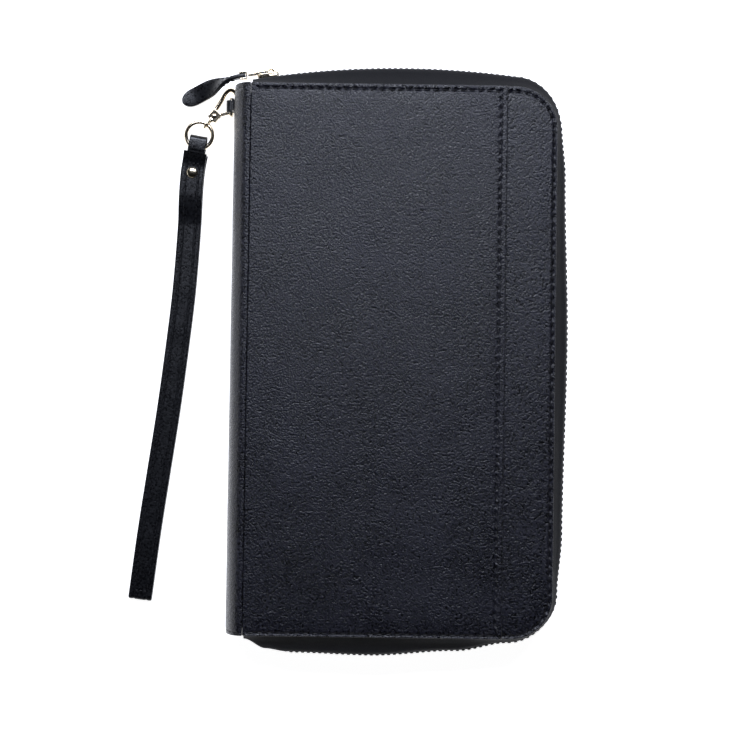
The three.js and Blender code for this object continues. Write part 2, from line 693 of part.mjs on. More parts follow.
// Frames of the hook: one along the swivel's axis from the body's rear face,
// and one along the gate from its pivot.
const gatePivot = hookAt(GATE_PIVOT_POINT);
const swivelAxis = new THREE.Vector3(Math.cos(rad(HOOK_TURN)), Math.sin(rad(HOOK_TURN)), 0);
const swivelSeat = gatePivot.clone().addScaledVector(swivelAxis, -HOOK_REAR);
const alongSwivel = (geometry) => geometry.rotateZ(rad(HOOK_TURN)).translate(...swivelSeat.toArray());
const tipReach = gatePivot.distanceTo(clawTip);
const tipTurn = Math.atan2(clawTip.y - gatePivot.y, clawTip.x - gatePivot.x);
const gateTurn = tipTurn - Math.asin((GATE_WIDTH / 2 + HOOK_WIRE / 2) / tipReach);
const gateLength = tipReach - tipRadius - GATE_CLEARANCE;
const alongGate = (geometry, opened = 0) =>
  geometry.rotateZ(gateTurn + rad(opened)).translate(...gatePivot.toArray());

const rod = (from, to, radius) =>
  new THREE.CylinderGeometry(radius, radius, to - from, 14)
    .rotateZ(-Math.PI / 2)
    .translate((from + to) / 2, 0, 0);
const pin = (radius, height) =>
  new THREE.CylinderGeometry(radius, radius, height, 14)
    .rotateX(Math.PI / 2)
    .translate(...gatePivot.toArray());

// The body has a slot as wide as the gate's whole swing, a hole for its pin and a seat for the swivel.
const [bodyLength, bodyWidth, bodyHeight] = HOOK_BODY;
const hookBody = alongSwivel(box(bodyLength / 2, 0, 0, bodyLength, bodyWidth, bodyHeight));
const collar = alongSwivel(rod(-HOOK_COLLAR, 0.2, SWIVEL_RADIUS + 0.7));
const slotWidth = GATE_WIDTH + 2 * GATE_CLEARANCE;
const slotHeight = GATE_THICKNESS + 2 * GATE_CLEARANCE;
const slotBack = GATE_WIDTH / 2 + GATE_CLEARANCE;
const slotLength = slotBack + Math.hypot(bodyLength - HOOK_REAR, bodyWidth / 2) + GATE_CLEARANCE;
const slotBox = () => box(slotLength / 2 - slotBack, 0, 0, slotLength, slotWidth, slotHeight);
const slotAt = (opened) => solid(alongGate(slotBox(), opened));
const gateSlot = wasm.Manifold.hull([slotAt(-4), slotAt(GATE_OPENS / 2), slotAt(GATE_OPENS + 4)]);
const swivelHole = alongSwivel(rod(-1.2, SWIVEL_DEPTH + SWIVEL_CLEARANCE, SWIVEL_RADIUS + SWIVEL_CLEARANCE));
const pinHole = pin(GATE_PIN_RADIUS + GATE_CLEARANCE, 2 * bodyHeight);
const clawAndBody = join(hookBody, collar, wire(clawCurve, HOOK_WIRE / 2, 26, 10), tipBall);
piece("hook_claw", cut(clawAndBody, geometryOf(gateSlot), swivelHole, pinHole), gold);
piece("gate_pin", pin(GATE_PIN_RADIUS, bodyHeight - 0.1), gold);

const gateBar = alongGate(box(gateLength / 2, 0, 0, gateLength, GATE_WIDTH, GATE_THICKNESS));
const gateHeel = pin(GATE_WIDTH / 2, GATE_THICKNESS);
const thumbTab = alongGate(
  new THREE.CylinderGeometry(0.9, 0.9, 1.7, 12).rotateX(Math.PI / 2).translate(0.7 * gateLength, 0, 0),
);
piece("hook_gate", cut(join(gateBar, gateHeel, thumbTab), pin(GATE_PIN_RADIUS + 0.12, 3)), gold);

// ---------- Swivel eye and round ring ----------

const eyeOffset = -(HOOK_COLLAR + SWIVEL_CLEARANCE + EYE_RADIUS + EYE_WIRE / 2);
const eyeLoop = new THREE.TorusGeometry(EYE_RADIUS, EYE_WIRE / 2, 8, 18)
  .rotateX(Math.PI / 2)
  .translate(eyeOffset, 0, 0);
const eyeStem = rod(eyeOffset + EYE_RADIUS - 0.2, SWIVEL_DEPTH, SWIVEL_RADIUS);
piece("swivel_eye", join(alongSwivel(eyeLoop), alongSwivel(eyeStem)), gold);

// The ring hangs through the eye and slopes down to the strap's tongue.
const tongueLowZ = STRAP_HEAD_LIFT + STRAP_PLY + LAYER_GAP + TONGUE_LEATHER / 2;
const tongueRound = RING_WIRE / 2 + TONGUE_TO_RING + TONGUE_LEATHER / 2;
const ringLowZ = tongueLowZ + tongueRound;
const eyeCentre = swivelSeat.clone().addScaledVector(swivelAxis, eyeOffset);
const strapTurn = Math.atan2(STRAP_COURSE[1][1], STRAP_COURSE[1][0]);
const eyeTurn = rad(RING_TO_EYE) - strapTurn;
const ringSlope = Math.asin((eyeCentre.z - ringLowZ) / (RING_RADIUS * (1 - Math.cos(eyeTurn))));
// Turns a ring made in the XY plane, whose +X points at the strap, into place.
const ringTurned = new THREE.Quaternion()
  .setFromAxisAngle(new THREE.Vector3(0, 0, 1), strapTurn)
  .multiply(new THREE.Quaternion().setFromAxisAngle(new THREE.Vector3(0, 1, 0), ringSlope));
const onRing = (turn) =>
  new THREE.Vector3(Math.cos(turn), Math.sin(turn), 0)
    .multiplyScalar(RING_RADIUS)
    .applyQuaternion(ringTurned);
const ringCentre = eyeCentre.clone().sub(onRing(eyeTurn));
const ringLow = ringCentre.clone().add(onRing(0));
const roundRing = new THREE.TorusGeometry(RING_RADIUS, RING_WIRE / 2, 10, 32)
  .applyQuaternion(ringTurned)
  .translate(...ringCentre.toArray());
piece("round_ring", roundRing, gold);

// ---------- Wrist strap ----------

const strapCurve = new THREE.CatmullRomCurve3(
  STRAP_COURSE.map(([x, y]) => new THREE.Vector3(ringLow.x + x, ringLow.y + y, 0)),
);
const strapLength = strapCurve.getLength();
// A place on the middle line, or on its straight run-out past either end.
function strapAt(distance) {
  const inside = THREE.MathUtils.clamp(distance, 0, strapLength);
  const tangent = strapCurve.getTangentAt(inside / strapLength);
  const point = strapCurve.getPointAt(inside / strapLength).addScaledVector(tangent, distance - inside);
  return { point, tangent, across: new THREE.Vector3(-tangent.y, tangent.x, 0) };
}

// A flat band of leather. Its route is a list of [distance along the strap, height, turn of the leather].
function band(route, width, thickness) {
  const corners = [
    [-1, -1],
    [1, -1],
    [1, 1],
    [-1, 1],
  ];
  return loft(
    route.map(([distance, z, turn]) => {
      const { point, tangent, across } = strapAt(distance);
      const normal = tangent.multiplyScalar(-Math.sin(turn)).add(new THREE.Vector3(0, 0, Math.cos(turn)));
      return corners.map(([w, h]) =>
        new THREE.Vector3(point.x, point.y, z)
          .addScaledVector(across, (w * width) / 2)
          .addScaledVector(normal, (h * thickness) / 2),
      );
    }),
  );
}

// The tongue doubles round the ring's wire and lies between the plies, which close up below it.
// Its lower half lies flat; its upper half comes down from the ring, and the upper ply follows it.
const pliesStart = STRAP_TO_RING + RING_WIRE / 2;
const tongueEnd = pliesStart + TONGUE_LENGTH;
const tongueHighZ = (distance) => {
  const down = THREE.MathUtils.smoothstep(distance, 0, pliesStart + 5.5);
  const [top, bottom] = [ringLowZ + tongueRound, tongueLowZ + TONGUE_LEATHER + LAYER_GAP];
  return top + (bottom - top) * down;
};
const headStations = [0, 1, 2, 3, 4, 5.5, 8].map((d) => pliesStart + d);
const tongueRoute = [
  [tongueEnd, tongueLowZ, Math.PI],
  [0, tongueLowZ, Math.PI],
];
for (let i = 0; i <= 8; i++) {
  const turn = -Math.PI / 2 - (Math.PI * i) / 8;
  tongueRoute.push([
    -TONGUE_HEAD + tongueRound * Math.cos(turn),
    ringLowZ + tongueRound * Math.sin(turn),
    turn - Math.PI / 2,
  ]);
}
tongueRoute.push(...[0, ...headStations, tongueEnd].map((d) => [d, tongueHighZ(d), -2 * Math.PI]));

const plyZ = (distance, upper) => {
  const closed = THREE.MathUtils.smoothstep(distance, tongueEnd + 0.5, tongueEnd + 14);
  const lower = STRAP_HEAD_LIFT * (1 - closed) + STRAP_PLY / 2;
  if (!upper) return lower;
  const overTongue = tongueHighZ(distance) + (TONGUE_LEATHER + STRAP_PLY) / 2 + LAYER_GAP;
  const overLower = lower + STRAP_PLY + STRAP_PLY_GAP;
  return overTongue + (overLower - overTongue) * closed;
};
const strapEnd = strapLength - 1.5;
function plyRoute(upper) {
  const stations = [...headStations, tongueEnd];
  stations.push(...[0.6, 4, 7.5, 11, 14.5].map((d) => tongueEnd + d));
  const first = tongueEnd + 24;
  const plain = 13;
  for (let i = 0; i <= plain; i++) stations.push(first + ((strapEnd - first) * i) / plain);
  return stations.map((d) => [d, plyZ(d, upper), 0]);
}
const foldMiddle = (plyZ(strapEnd, false) + plyZ(strapEnd, true)) / 2;
const foldRadius = plyZ(strapEnd, true) - foldMiddle;
const bandRoute = plyRoute(false);
for (let i = 1; i < 8; i++) {
  const turn = -Math.PI / 2 + (Math.PI * i) / 8;
  bandRoute.push([
    strapEnd + foldRadius * Math.cos(turn),
    foldMiddle + foldRadius * Math.sin(turn),
    turn + Math.PI / 2,
  ]);
}
const upperRoute = plyRoute(true).reverse();
bandRoute.push(...upperRoute.map(([d, z]) => [d, z, Math.PI]));

const rivetAt = pliesStart + RIVET_FROM_PLIES;
const { point: rivetPoint } = strapAt(rivetAt);
const plyTop = plyZ(rivetAt, true) + STRAP_PLY / 2;
const rivetHole = () => post(rivetPoint.x, rivetPoint.y, -1, plyTop + 1, RIVET_SHAFT_RADIUS + 0.2, 16);
piece("strap_band", cut(band(bandRoute, STRAP_WIDTH, STRAP_PLY), rivetHole()), strapLeather);
piece("strap_tongue", cut(band(tongueRoute, TONGUE_WIDTH, TONGUE_LEATHER), rivetHole()), strapLeather);

// The rivet: a domed cap with its shaft above, and the foot that the shaft is pressed into.
const domeBase = plyTop + RIVET_GAP;
const domeProfile = [new THREE.Vector2(0, domeBase), new THREE.Vector2(RIVET_CAP_RADIUS, domeBase)];
for (let i = 1; i < 6; i++) {
  const angle = (Math.PI / 2) * (i / 6);
  const rise = RIVET_RIM + RIVET_CAP_RISE * Math.sin(angle);
  domeProfile.push(new THREE.Vector2(RIVET_CAP_RADIUS * Math.cos(angle), domeBase + rise));
}
domeProfile.push(new THREE.Vector2(0, domeBase + RIVET_RIM + RIVET_CAP_RISE));
const dome = new THREE.LatheGeometry(domeProfile, 24)
  .rotateX(Math.PI / 2)
  .translate(rivetPoint.x, rivetPoint.y, 0);
const footTop = STRAP_HEAD_LIFT - RIVET_GAP;
const shaft = post(rivetPoint.x, rivetPoint.y, footTop + 0.3, domeBase + 0.1, RIVET_SHAFT_RADIUS, 16);
piece("rivet_cap", join(dome, shaft), gold);
piece("rivet_foot", post(rivetPoint.x, rivetPoint.y, 0.05, footTop, RIVET_CAP_RADIUS, 24), gold);

// ---------- Inner pockets ----------

const pocketLeft = PANEL_LEFT_X + POCKET_FROM_SPINE;
const pocketRight = RIGHT_X - POCKET_FROM_EDGE;
const pocketFoot = -HEAD_Y + POCKET_FROM_FOOT;
const pocketLayer = POCKET_PANEL + POCKET_GAP;
function pocket(name, left, right, foot, head, bottom) {
  piece(name, sheet(plainOutline(left, right, foot, head), bottom, POCKET_PANEL), pocketLeather);
}

// Back cover: a tall slip pocket for papers and a passport pocket in front of it, both open at the head.
const documentPocketZ = INNER_Z + POCKET_GAP;
pocket(
  "document_pocket",
  pocketLeft,
  pocketRight,
  pocketFoot,
  pocketFoot + DOCUMENT_POCKET_HEIGHT,
  documentPocketZ,
);
pocket(
  "passport_pocket",
  pocketLeft + PASSPORT_POCKET_INSET,
  pocketRight - PASSPORT_POCKET_INSET,
  pocketFoot + PASSPORT_POCKET_INSET,
  pocketFoot + PASSPORT_POCKET_INSET + PASSPORT_POCKET_HEIGHT,
  documentPocketZ + pocketLayer,
);

// Front cover: stepped card pockets at the head half, and a slip pocket at the foot half.
const cardMiddleX = (pocketLeft + pocketRight) / 2;
const [cardWidth, cardHeight] = CARD_POCKET;
const [cardLeft, cardRight] = [cardMiddleX - cardWidth / 2, cardMiddleX + cardWidth / 2];
for (let i = 0; i < CARD_POCKETS; i++) {
  const head = HEAD_Y - CARDS_FROM_HEAD - CARD_POCKET_STEP * i;
  const bottom = FRONT_INNER_Z - pocketLayer * (i + 1);
  pocket(`card_pocket_${i + 1}`, cardLeft, cardRight, head - cardHeight, head, bottom);
}
pocket(
  "ticket_pocket",
  pocketLeft,
  pocketRight,
  pocketFoot,
  pocketFoot + TICKET_POCKET_HEIGHT,
  FRONT_INNER_Z - pocketLayer,
);

export default group;
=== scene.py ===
"""A black leather travel document organizer: a zip-around wallet with a wrist strap on a snap hook.

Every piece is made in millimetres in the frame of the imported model: +Z is up through the closed covers,
+Y runs from foot to head, and the spine is on the -X side.
"""
import math

import bmesh
import bpy
import numpy as np
from mathutils import Matrix, Vector, noise


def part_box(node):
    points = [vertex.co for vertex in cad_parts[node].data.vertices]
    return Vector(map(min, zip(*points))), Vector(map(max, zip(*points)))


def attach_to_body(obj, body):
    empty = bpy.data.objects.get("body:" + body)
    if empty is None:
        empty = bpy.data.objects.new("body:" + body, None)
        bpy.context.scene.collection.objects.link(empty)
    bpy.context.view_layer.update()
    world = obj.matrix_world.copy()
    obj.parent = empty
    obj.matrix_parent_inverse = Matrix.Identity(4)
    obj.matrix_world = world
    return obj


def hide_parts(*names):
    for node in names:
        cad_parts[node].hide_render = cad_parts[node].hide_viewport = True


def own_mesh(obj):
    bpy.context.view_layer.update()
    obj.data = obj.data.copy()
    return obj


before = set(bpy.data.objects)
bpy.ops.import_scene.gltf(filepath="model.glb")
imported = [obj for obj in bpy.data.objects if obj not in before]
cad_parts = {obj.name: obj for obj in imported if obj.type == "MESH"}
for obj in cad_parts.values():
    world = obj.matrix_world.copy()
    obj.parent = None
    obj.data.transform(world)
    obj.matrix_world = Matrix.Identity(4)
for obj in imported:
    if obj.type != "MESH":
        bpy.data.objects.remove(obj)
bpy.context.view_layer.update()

MM = 0.001


def span(node):
    """Lowest and highest corner of a CAD node, in millimetres."""
    low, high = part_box(node)
    return np.array(low) / MM, np.array(high) / MM


def smoothstep(value, low, high):
    share = np.clip((np.asarray(value, float) - low) / (high - low), 0, 1)
    return share * share * (3 - 2 * share)


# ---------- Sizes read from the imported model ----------

FRONT_LEATHER_LOW, FRONT_LEATHER_HIGH = span("front_leather")
POCKET_LOW, POCKET_HIGH = span("front_outer_pocket")
FOOT = FRONT_LEATHER_LOW[1]
RIGHT, HEAD = FRONT_LEATHER_HIGH[:2]
TOP = POCKET_HIGH[2]
MIDDLE_Z = TOP / 2
CORNER_RADIUS = 17.5
FOLD_X = -61.0
SPINE_BULGE = 7.0


# ---------- Materials ----------

class Shader:
    """A Principled material with helpers to add its nodes."""

    def __init__(self, name, roughness, metallic=0.0, specular=0.5):
        self.material = bpy.data.materials.new(name)
        self.material.use_nodes = True
        self.tree = self.material.node_tree
        self.principled = self.tree.nodes["Principled BSDF"]
        self.principled.inputs["Metallic"].default_value = metallic
        self.principled.inputs["Roughness"].default_value = roughness
        self.principled.inputs["Specular IOR Level"].default_value = specular

    def node(self, kind, **settings):
        made = self.tree.nodes.new(kind)
        for key, value in settings.items():
            if key in made.inputs:
                made.inputs[key].default_value = value
            else:
                setattr(made, key, value)
        return made

    def link(self, source, target):
        self.tree.links.new(source, target)

    def place(self):
        return self.node("ShaderNodeTexCoord").outputs["Object"]

    def uv(self):
        return self.node("ShaderNodeTexCoord").outputs["UV"]

    def noise(self, place, scale, detail=3.0, roughness=0.55):
        made = self.node("ShaderNodeTexNoise", Scale=scale, Detail=detail, Roughness=roughness)
        self.link(place, made.inputs["Vector"])
        return made.outputs["Fac"]

    def cells(self, place, scale):
        made = self.node("ShaderNodeTexVoronoi", feature="SMOOTH_F1", Scale=scale)
        self.link(place, made.inputs["Vector"])
        return made.outputs["Distance"]

    def ramp(self, value, stops):
        made = self.node("ShaderNodeValToRGB")
        elements = made.color_ramp.elements
        for at, colour in stops[2:]:
            elements.new(at)
        for element, (at, colour) in zip(elements, sorted(stops)):
            element.position = at
            element.color = (*colour, 1)
        self.link(value, made.inputs["Fac"])
        return made.outputs["Color"]

    def spread(self, value, low, high, to_low, to_high):
        made = self.node("ShaderNodeMapRange")
        for key, number in (("From Min", low), ("From Max", high),
                            ("To Min", to_low), ("To Max", to_high)):
            made.inputs[key].default_value = number
        self.link(value, made.inputs["Value"])
        return made.outputs["Result"]

    def math(self, operation, first, second=None):
        made = self.node("ShaderNodeMath", operation=operation)
        for socket, value in zip(made.inputs, (first, second)):
            if isinstance(value, (int, float)):
                socket.default_value = value
            elif value is not None:
                self.link(value, socket)
        return made.outputs["Value"]

    def bump(self, height, depth_mm, strength=1.0):
        made = self.node("ShaderNodeBump", Strength=strength, Distance=depth_mm * MM)
        self.link(height, made.inputs["Height"])
        return made.outputs["Normal"]

    def finish(self, colour=None, roughness=None, normal=None):
        for socket, source in (("Base Color", colour), ("Roughness", roughness), ("Normal", normal)):
            if source is not None:
                self.link(source, self.principled.inputs[socket])
        return self.material


def leather_material(name, dark, light, roughness, pebble_mm, depth_mm):
    """Grained leather: patchy dye, a fine speckle that is lighter on the raised grain (partly grain tone,
    partly painted glints), pebbles with creases between them, and a patchy gloss.
    """
    s = Shader(name, roughness, specular=0.45)
    place = s.place()
    # A little noise in the coordinates keeps the pebbles from looking like a regular pattern.
    wander = s.node("ShaderNodeMix", data_type="VECTOR")
    wander.inputs["Factor"].default_value = 0.0006
    warp = s.node("ShaderNodeTexNoise", Scale=450.0, Detail=2.0)
    s.link(place, warp.inputs["Vector"])
    s.link(place, wander.inputs[4])
    s.link(warp.outputs["Color"], wander.inputs[5])
    warped = wander.outputs[1]
    pebbles = s.cells(warped, 1000.0 / pebble_mm)
    fine = s.noise(place, 1150.0, detail=3.0, roughness=0.62)
    patches = s.noise(place, 38.0, detail=4.0, roughness=0.6)
    creases = s.spread(pebbles, 0.15, 0.75, 1.0, 0.0)
    height = s.math("ADD", s.math("MULTIPLY", creases, 0.45), s.math("MULTIPLY", fine, 1.5))
    normal = s.bump(height, depth_mm)
    # The fine noise that raises the grain also lightens its colour: partly grain tone, partly painted glints
    # on the grain tops.
    tone = s.math("ADD", s.math("MULTIPLY", patches, 0.2), s.math("MULTIPLY", fine, 0.8))
    colour = s.ramp(tone, [(0.42, dark), (0.62, light)])
    gloss = s.math("ADD", s.spread(patches, 0.3, 0.7, -0.03, 0.04),
                   s.spread(fine, 0.35, 0.65, roughness - 0.09, roughness + 0.11))
    return s.finish(colour, gloss, normal)


def metal_material():
    """Polished pale gold plating with faint haze and hairlines."""
    s = Shader("gold_metal", 0.14, metallic=1.0)
    place = s.place()
    haze = s.noise(place, 420.0, detail=3.0)
    hairline = s.noise(place, 5200.0, detail=2.0)
    colour = s.ramp(haze, [(0.25, (0.70, 0.60, 0.44)), (0.8, (0.80, 0.71, 0.55))])
    gloss = s.math("ADD", s.spread(haze, 0.3, 0.7, 0.09, 0.19), s.math("MULTIPLY", hairline, 0.05))
    return s.finish(colour, gloss, s.bump(hairline, 0.004, 0.6))


def woven_material(name, dark, light, along_mm, across_mm, depth_mm, roughness=0.75):
    """A plain weave whose threads run along the piece's UV map, which is laid out in millimetres."""
    s = Shader(name, roughness, specular=0.3)
    s.principled.inputs["Sheen Weight"].default_value = 0.03
    s.principled.inputs["Sheen Roughness"].default_value = 0.4
    split = s.node("ShaderNodeSeparateXYZ")
    s.link(s.uv(), split.inputs["Vector"])
    waves = []
    for axis, pitch in (("X", along_mm), ("Y", across_mm)):
        turned = s.math("MULTIPLY", split.outputs[axis], 2 * math.pi / pitch)
        waves.append(s.math("SINE", turned))
    weave = s.math("MULTIPLY", waves[0], waves[1])
    fuzz = s.noise(s.place(), 2200.0, detail=3.0)
    height = s.math("ADD", s.spread(weave, -1.0, 1.0, 0.0, 1.0), s.math("MULTIPLY", fuzz, 0.5))
    # Colour follows the weave's height: painted shade in the dips, lighter crests.
    colour = s.ramp(s.math("MULTIPLY", height, 0.67), [(0.1, dark), (0.9, light)])
    gloss = s.spread(fuzz, 0.3, 0.7, roughness - 0.08, roughness + 0.08)
    return s.finish(colour, gloss, s.bump(height, depth_mm))


def plastic_material(name, dark, light, roughness):
    """Moulded plastic with a faint satin texture."""
    s = Shader(name, roughness)
    place = s.place()
    grain = s.noise(place, 1800.0, detail=3.0)
    cloud = s.noise(place, 160.0, detail=2.0)
    colour = s.ramp(cloud, [(0.3, dark), (0.7, light)])
    gloss = s.spread(grain, 0.3, 0.7, roughness - 0.06, roughness + 0.08)
    return s.finish(colour, gloss, s.bump(grain, 0.008))


def thread_material():
    """Waxed thread: fine twist lines across each stitch."""
    s = Shader("thread", 0.5, specular=0.4)
    place = s.place()
    twist = s.noise(place, 3800.0, detail=2.0)
    colour = s.ramp(twist, [(0.3, (0.003, 0.003, 0.004)), (0.7, (0.010, 0.010, 0.013))])
    gloss = s.spread(twist, 0.3, 0.7, 0.42, 0.6)
    return s.finish(colour, gloss, s.bump(twist, 0.03))


def board_material():
    """Pressed fibre board."""
    s = Shader("board", 0.85, specular=0.2)
    place = s.place()
    fibres = s.noise(place, 700.0, detail=5.0, roughness=0.7)
    colour = s.ramp(fibres, [(0.3, (0.30, 0.24, 0.17)), (0.7, (0.48, 0.41, 0.31))])
    return s.finish(colour, s.spread(fibres, 0.3, 0.7, 0.8, 0.92), s.bump(fibres, 0.05))


# Each leather's light colour is reached on its raised grain: partly grain tone, partly painted glints.
COVER = leather_material("cover_leather", (0.0006, 0.0006, 0.0011), (0.0125, 0.0130, 0.0235),
                         0.30, 0.66, 0.21)
STRAP = leather_material("strap_leather", (0.002, 0.0022, 0.003), (0.006, 0.0066, 0.009), 0.32, 0.5, 0.05)
INNER = leather_material("pocket_leather", (0.006, 0.006, 0.008), (0.017, 0.018, 0.022), 0.46, 0.55, 0.06)
GOLD = metal_material()
# Each weave's dark colour sits in its dips as painted shade.
TAPE = woven_material("zip_tape", (0.001, 0.001, 0.0013), (0.010, 0.010, 0.013), 0.9, 0.7, 0.12)
LINING = woven_material("lining", (0.008, 0.008, 0.010), (0.030, 0.031, 0.035), 0.7, 0.7, 0.07)
TEETH = plastic_material("zip_teeth", (0.004, 0.004, 0.005), (0.012, 0.012, 0.015), 0.32)
THREAD = thread_material()
BOARD = board_material()


# ---------- Mesh helpers ----------

def mesh_object(name, points, faces, material, uv=None, crease_deg=35.0):
    """A smooth-shaded object from points in millimetres. uv gives one pair for each point."""
    mesh = bpy.data.meshes.new(name)
    mesh.from_pydata((np.asarray(points, float) * MM).tolist(), [], faces)
    shape = bmesh.new()
    shape.from_mesh(mesh)
    bmesh.ops.recalc_face_normals(shape, faces=shape.faces)
    shape.to_mesh(mesh)
    shape.free()
    mesh.materials.append(material)
    if uv is not None:
        layer = mesh.uv_layers.new(name="weave")
        corners = np.zeros(len(mesh.loops), np.int64)
        mesh.loops.foreach_get("vertex_index", corners)
        layer.data.foreach_set("uv", np.asarray(uv, np.float32)[corners].ravel())
    mesh.validate()
    mesh.shade_smooth()
    mesh.set_sharp_from_angle(angle=math.radians(crease_deg))
    made = bpy.data.objects.new(name, mesh)
    bpy.context.scene.collection.objects.link(made)
    return made


def attach(piece, body, slot, *nodes):
    """A piece rides on its body and stands for CAD nodes; its slot is not used."""
    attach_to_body(piece, body)
    if nodes:
        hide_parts(*nodes)
    return piece


def grid_faces(rows, columns, start=0, wrap_columns=False, wrap_rows=False):
    """Quads of a grid of points stored row by row."""
    r = np.arange(rows if wrap_rows else rows - 1)[:, None]
    c = np.arange(columns if wrap_columns else columns - 1)[None, :]
    r1, c1 = (r + 1) % rows, (c + 1) % columns
    corners = [r * columns + c, r * columns + c1, r1 * columns + c1, r1 * columns + c]
    return (np.stack(corners, -1).reshape(-1, 4) + start).tolist()


def loft(sections, closed=False):
    """Points and faces of a tube through sections of the same count. An open tube gets end caps."""
    sections = np.asarray(sections, float)
    rows, columns = sections.shape[:2]
    faces = grid_faces(rows, columns, wrap_columns=True, wrap_rows=closed)
    if not closed:
        last = (rows - 1) * columns
        faces.append(list(range(columns))[::-1])
        faces.append([last + i for i in range(columns)])
    return sections.reshape(-1, 3), faces


def merged(*parts):
    """Several (points, faces) pairs as one."""
    points, faces, start = [], [], 0
    for more_points, more_faces in parts:
        points.append(np.asarray(more_points, float))
        faces += [[i + start for i in face] for face in more_faces]
        start += len(more_points)
    return np.concatenate(points), faces


def repeated(template_points, template_faces, frames):
    """Copies of a template. Each frame is an origin and the directions of the template's three axes."""
    template = np.asarray(template_points, float)
    frames = np.asarray(frames, float)
    points = frames[:, None, 0] + np.einsum("kc,ncd->nkd", template, frames[:, 1:])
    faces = []
    for copy in range(len(frames)):
        start = copy * len(template)
        faces += [[i + start for i in face] for face in template_faces]
    return points.reshape(-1, 3), faces


def rounded_box(x, y, z, radius, centre=(0, 0, 0), steps=3):
    """Points and faces of a box with rounded edges, as a squared-off ball."""
    turns = []
    for quarter in range(4):
        turns += [quarter * math.pi / 2 + i * math.pi / 2 / steps for i in range(steps + 1)]
    radius = min(radius, x / 2 - 1e-3, y / 2 - 1e-3, z / 2 - 1e-3)
    sections = []
    for half in (-1, 1):
        for i in range(steps + 1):
            lean = (i if half > 0 else steps - i) * math.pi / 2 / steps
            ring = []
            for k, turn in enumerate(turns):
                quarter = k // (steps + 1)
                corner_x = (x / 2 - radius) * (1 if quarter in (0, 3) else -1)
                corner_y = (y / 2 - radius) * (1 if quarter in (0, 1) else -1)
                reach = radius * math.cos(lean)
                ring.append((corner_x + reach * math.cos(turn), corner_y + reach * math.sin(turn),
                             half * (z / 2 - radius + radius * math.sin(lean))))
            sections.append(ring)
    points, faces = loft(sections)
    return points + np.array(centre, float), faces


def resampled(path, step, closed=False):
    """Evenly spaced points on a polyline and their unit tangents."""
    path = np.asarray(path, float)
    if closed:
        path = np.vstack([path, path[:1]])
    lengths = np.linalg.norm(np.diff(path, axis=0), axis=1)
    along = np.concatenate([[0], np.cumsum(lengths)])
    count = max(int(round(along[-1] / step)), 1)
    at = np.linspace(0, along[-1], count + 1)
    if closed:
        at = at[:-1]

    def sampled(where):
        where = np.clip(where, 0, along[-1])
        return np.stack([np.interp(where, along, column) for column in path.T], 1)

    tangents = sampled(at + step / 3) - sampled(at - step / 3)
    tangents /= np.linalg.norm(tangents, axis=1)[:, None]
    return sampled(at), tangents


def stitch_template(length, width, height):
    """One stitch: thread that rises out of its hole, lies flat and dips again, with a slight twist."""
    steps, sides = 6, 8
    sections = []
    for i in range(steps + 1):
        share = -1 + 2 * i / steps
        swell = math.sqrt(max(1 - share ** 4, 0.02))
        lift = height * (0.75 - share ** 4)
        ring = []
        for k in range(sides):
            turn = 2 * math.pi * k / sides
            ring.append((share * length / 2, width / 2 * swell * math.cos(turn) + 0.10 * share * width,
                         lift + width / 2 * swell * math.sin(turn) - width * 0.35))
        sections.append(ring)
    return loft(sections)


STITCH_HEIGHT = 0.3


def stitch_row(path, pitch, up, gap=0.75, width=0.52):
    """Stitches along a path on the surface. up is the surface's outward direction, or one for each
    resampled point."""
    points, tangents = resampled(path, pitch)
    up = np.broadcast_to(np.asarray(up, float), points.shape)
    across = np.cross(up, tangents)
    across /= np.linalg.norm(across, axis=1)[:, None]
    middles = (points[1:] + points[:-1]) / 2
    frames = np.stack([middles, tangents[:-1], across[:-1], up[:-1]], 1)
    return repeated(*stitch_template(pitch - gap, width, STITCH_HEIGHT), frames)


def stitches_on(path, pitch, up, gap, width):
    """A stitch row along a path whose outward direction is given at each of its points."""
    points, _ = resampled(path, pitch)
    nearest = [int(np.argmin(((path - p) ** 2).sum(1))) for p in points]
    return stitch_row(path, pitch, up[nearest], gap, width)


def waves(x, y, size, seed):
    """Smooth random height, about -1 to 1, with bumps of the given size."""
    flat = np.stack([np.ravel(x) / size, np.ravel(y) / size], 1)
    values = [noise.noise(Vector((a, b, seed))) for a, b in flat]
    return np.array(values).reshape(np.shape(x))


# ---------- Sewn panels ----------

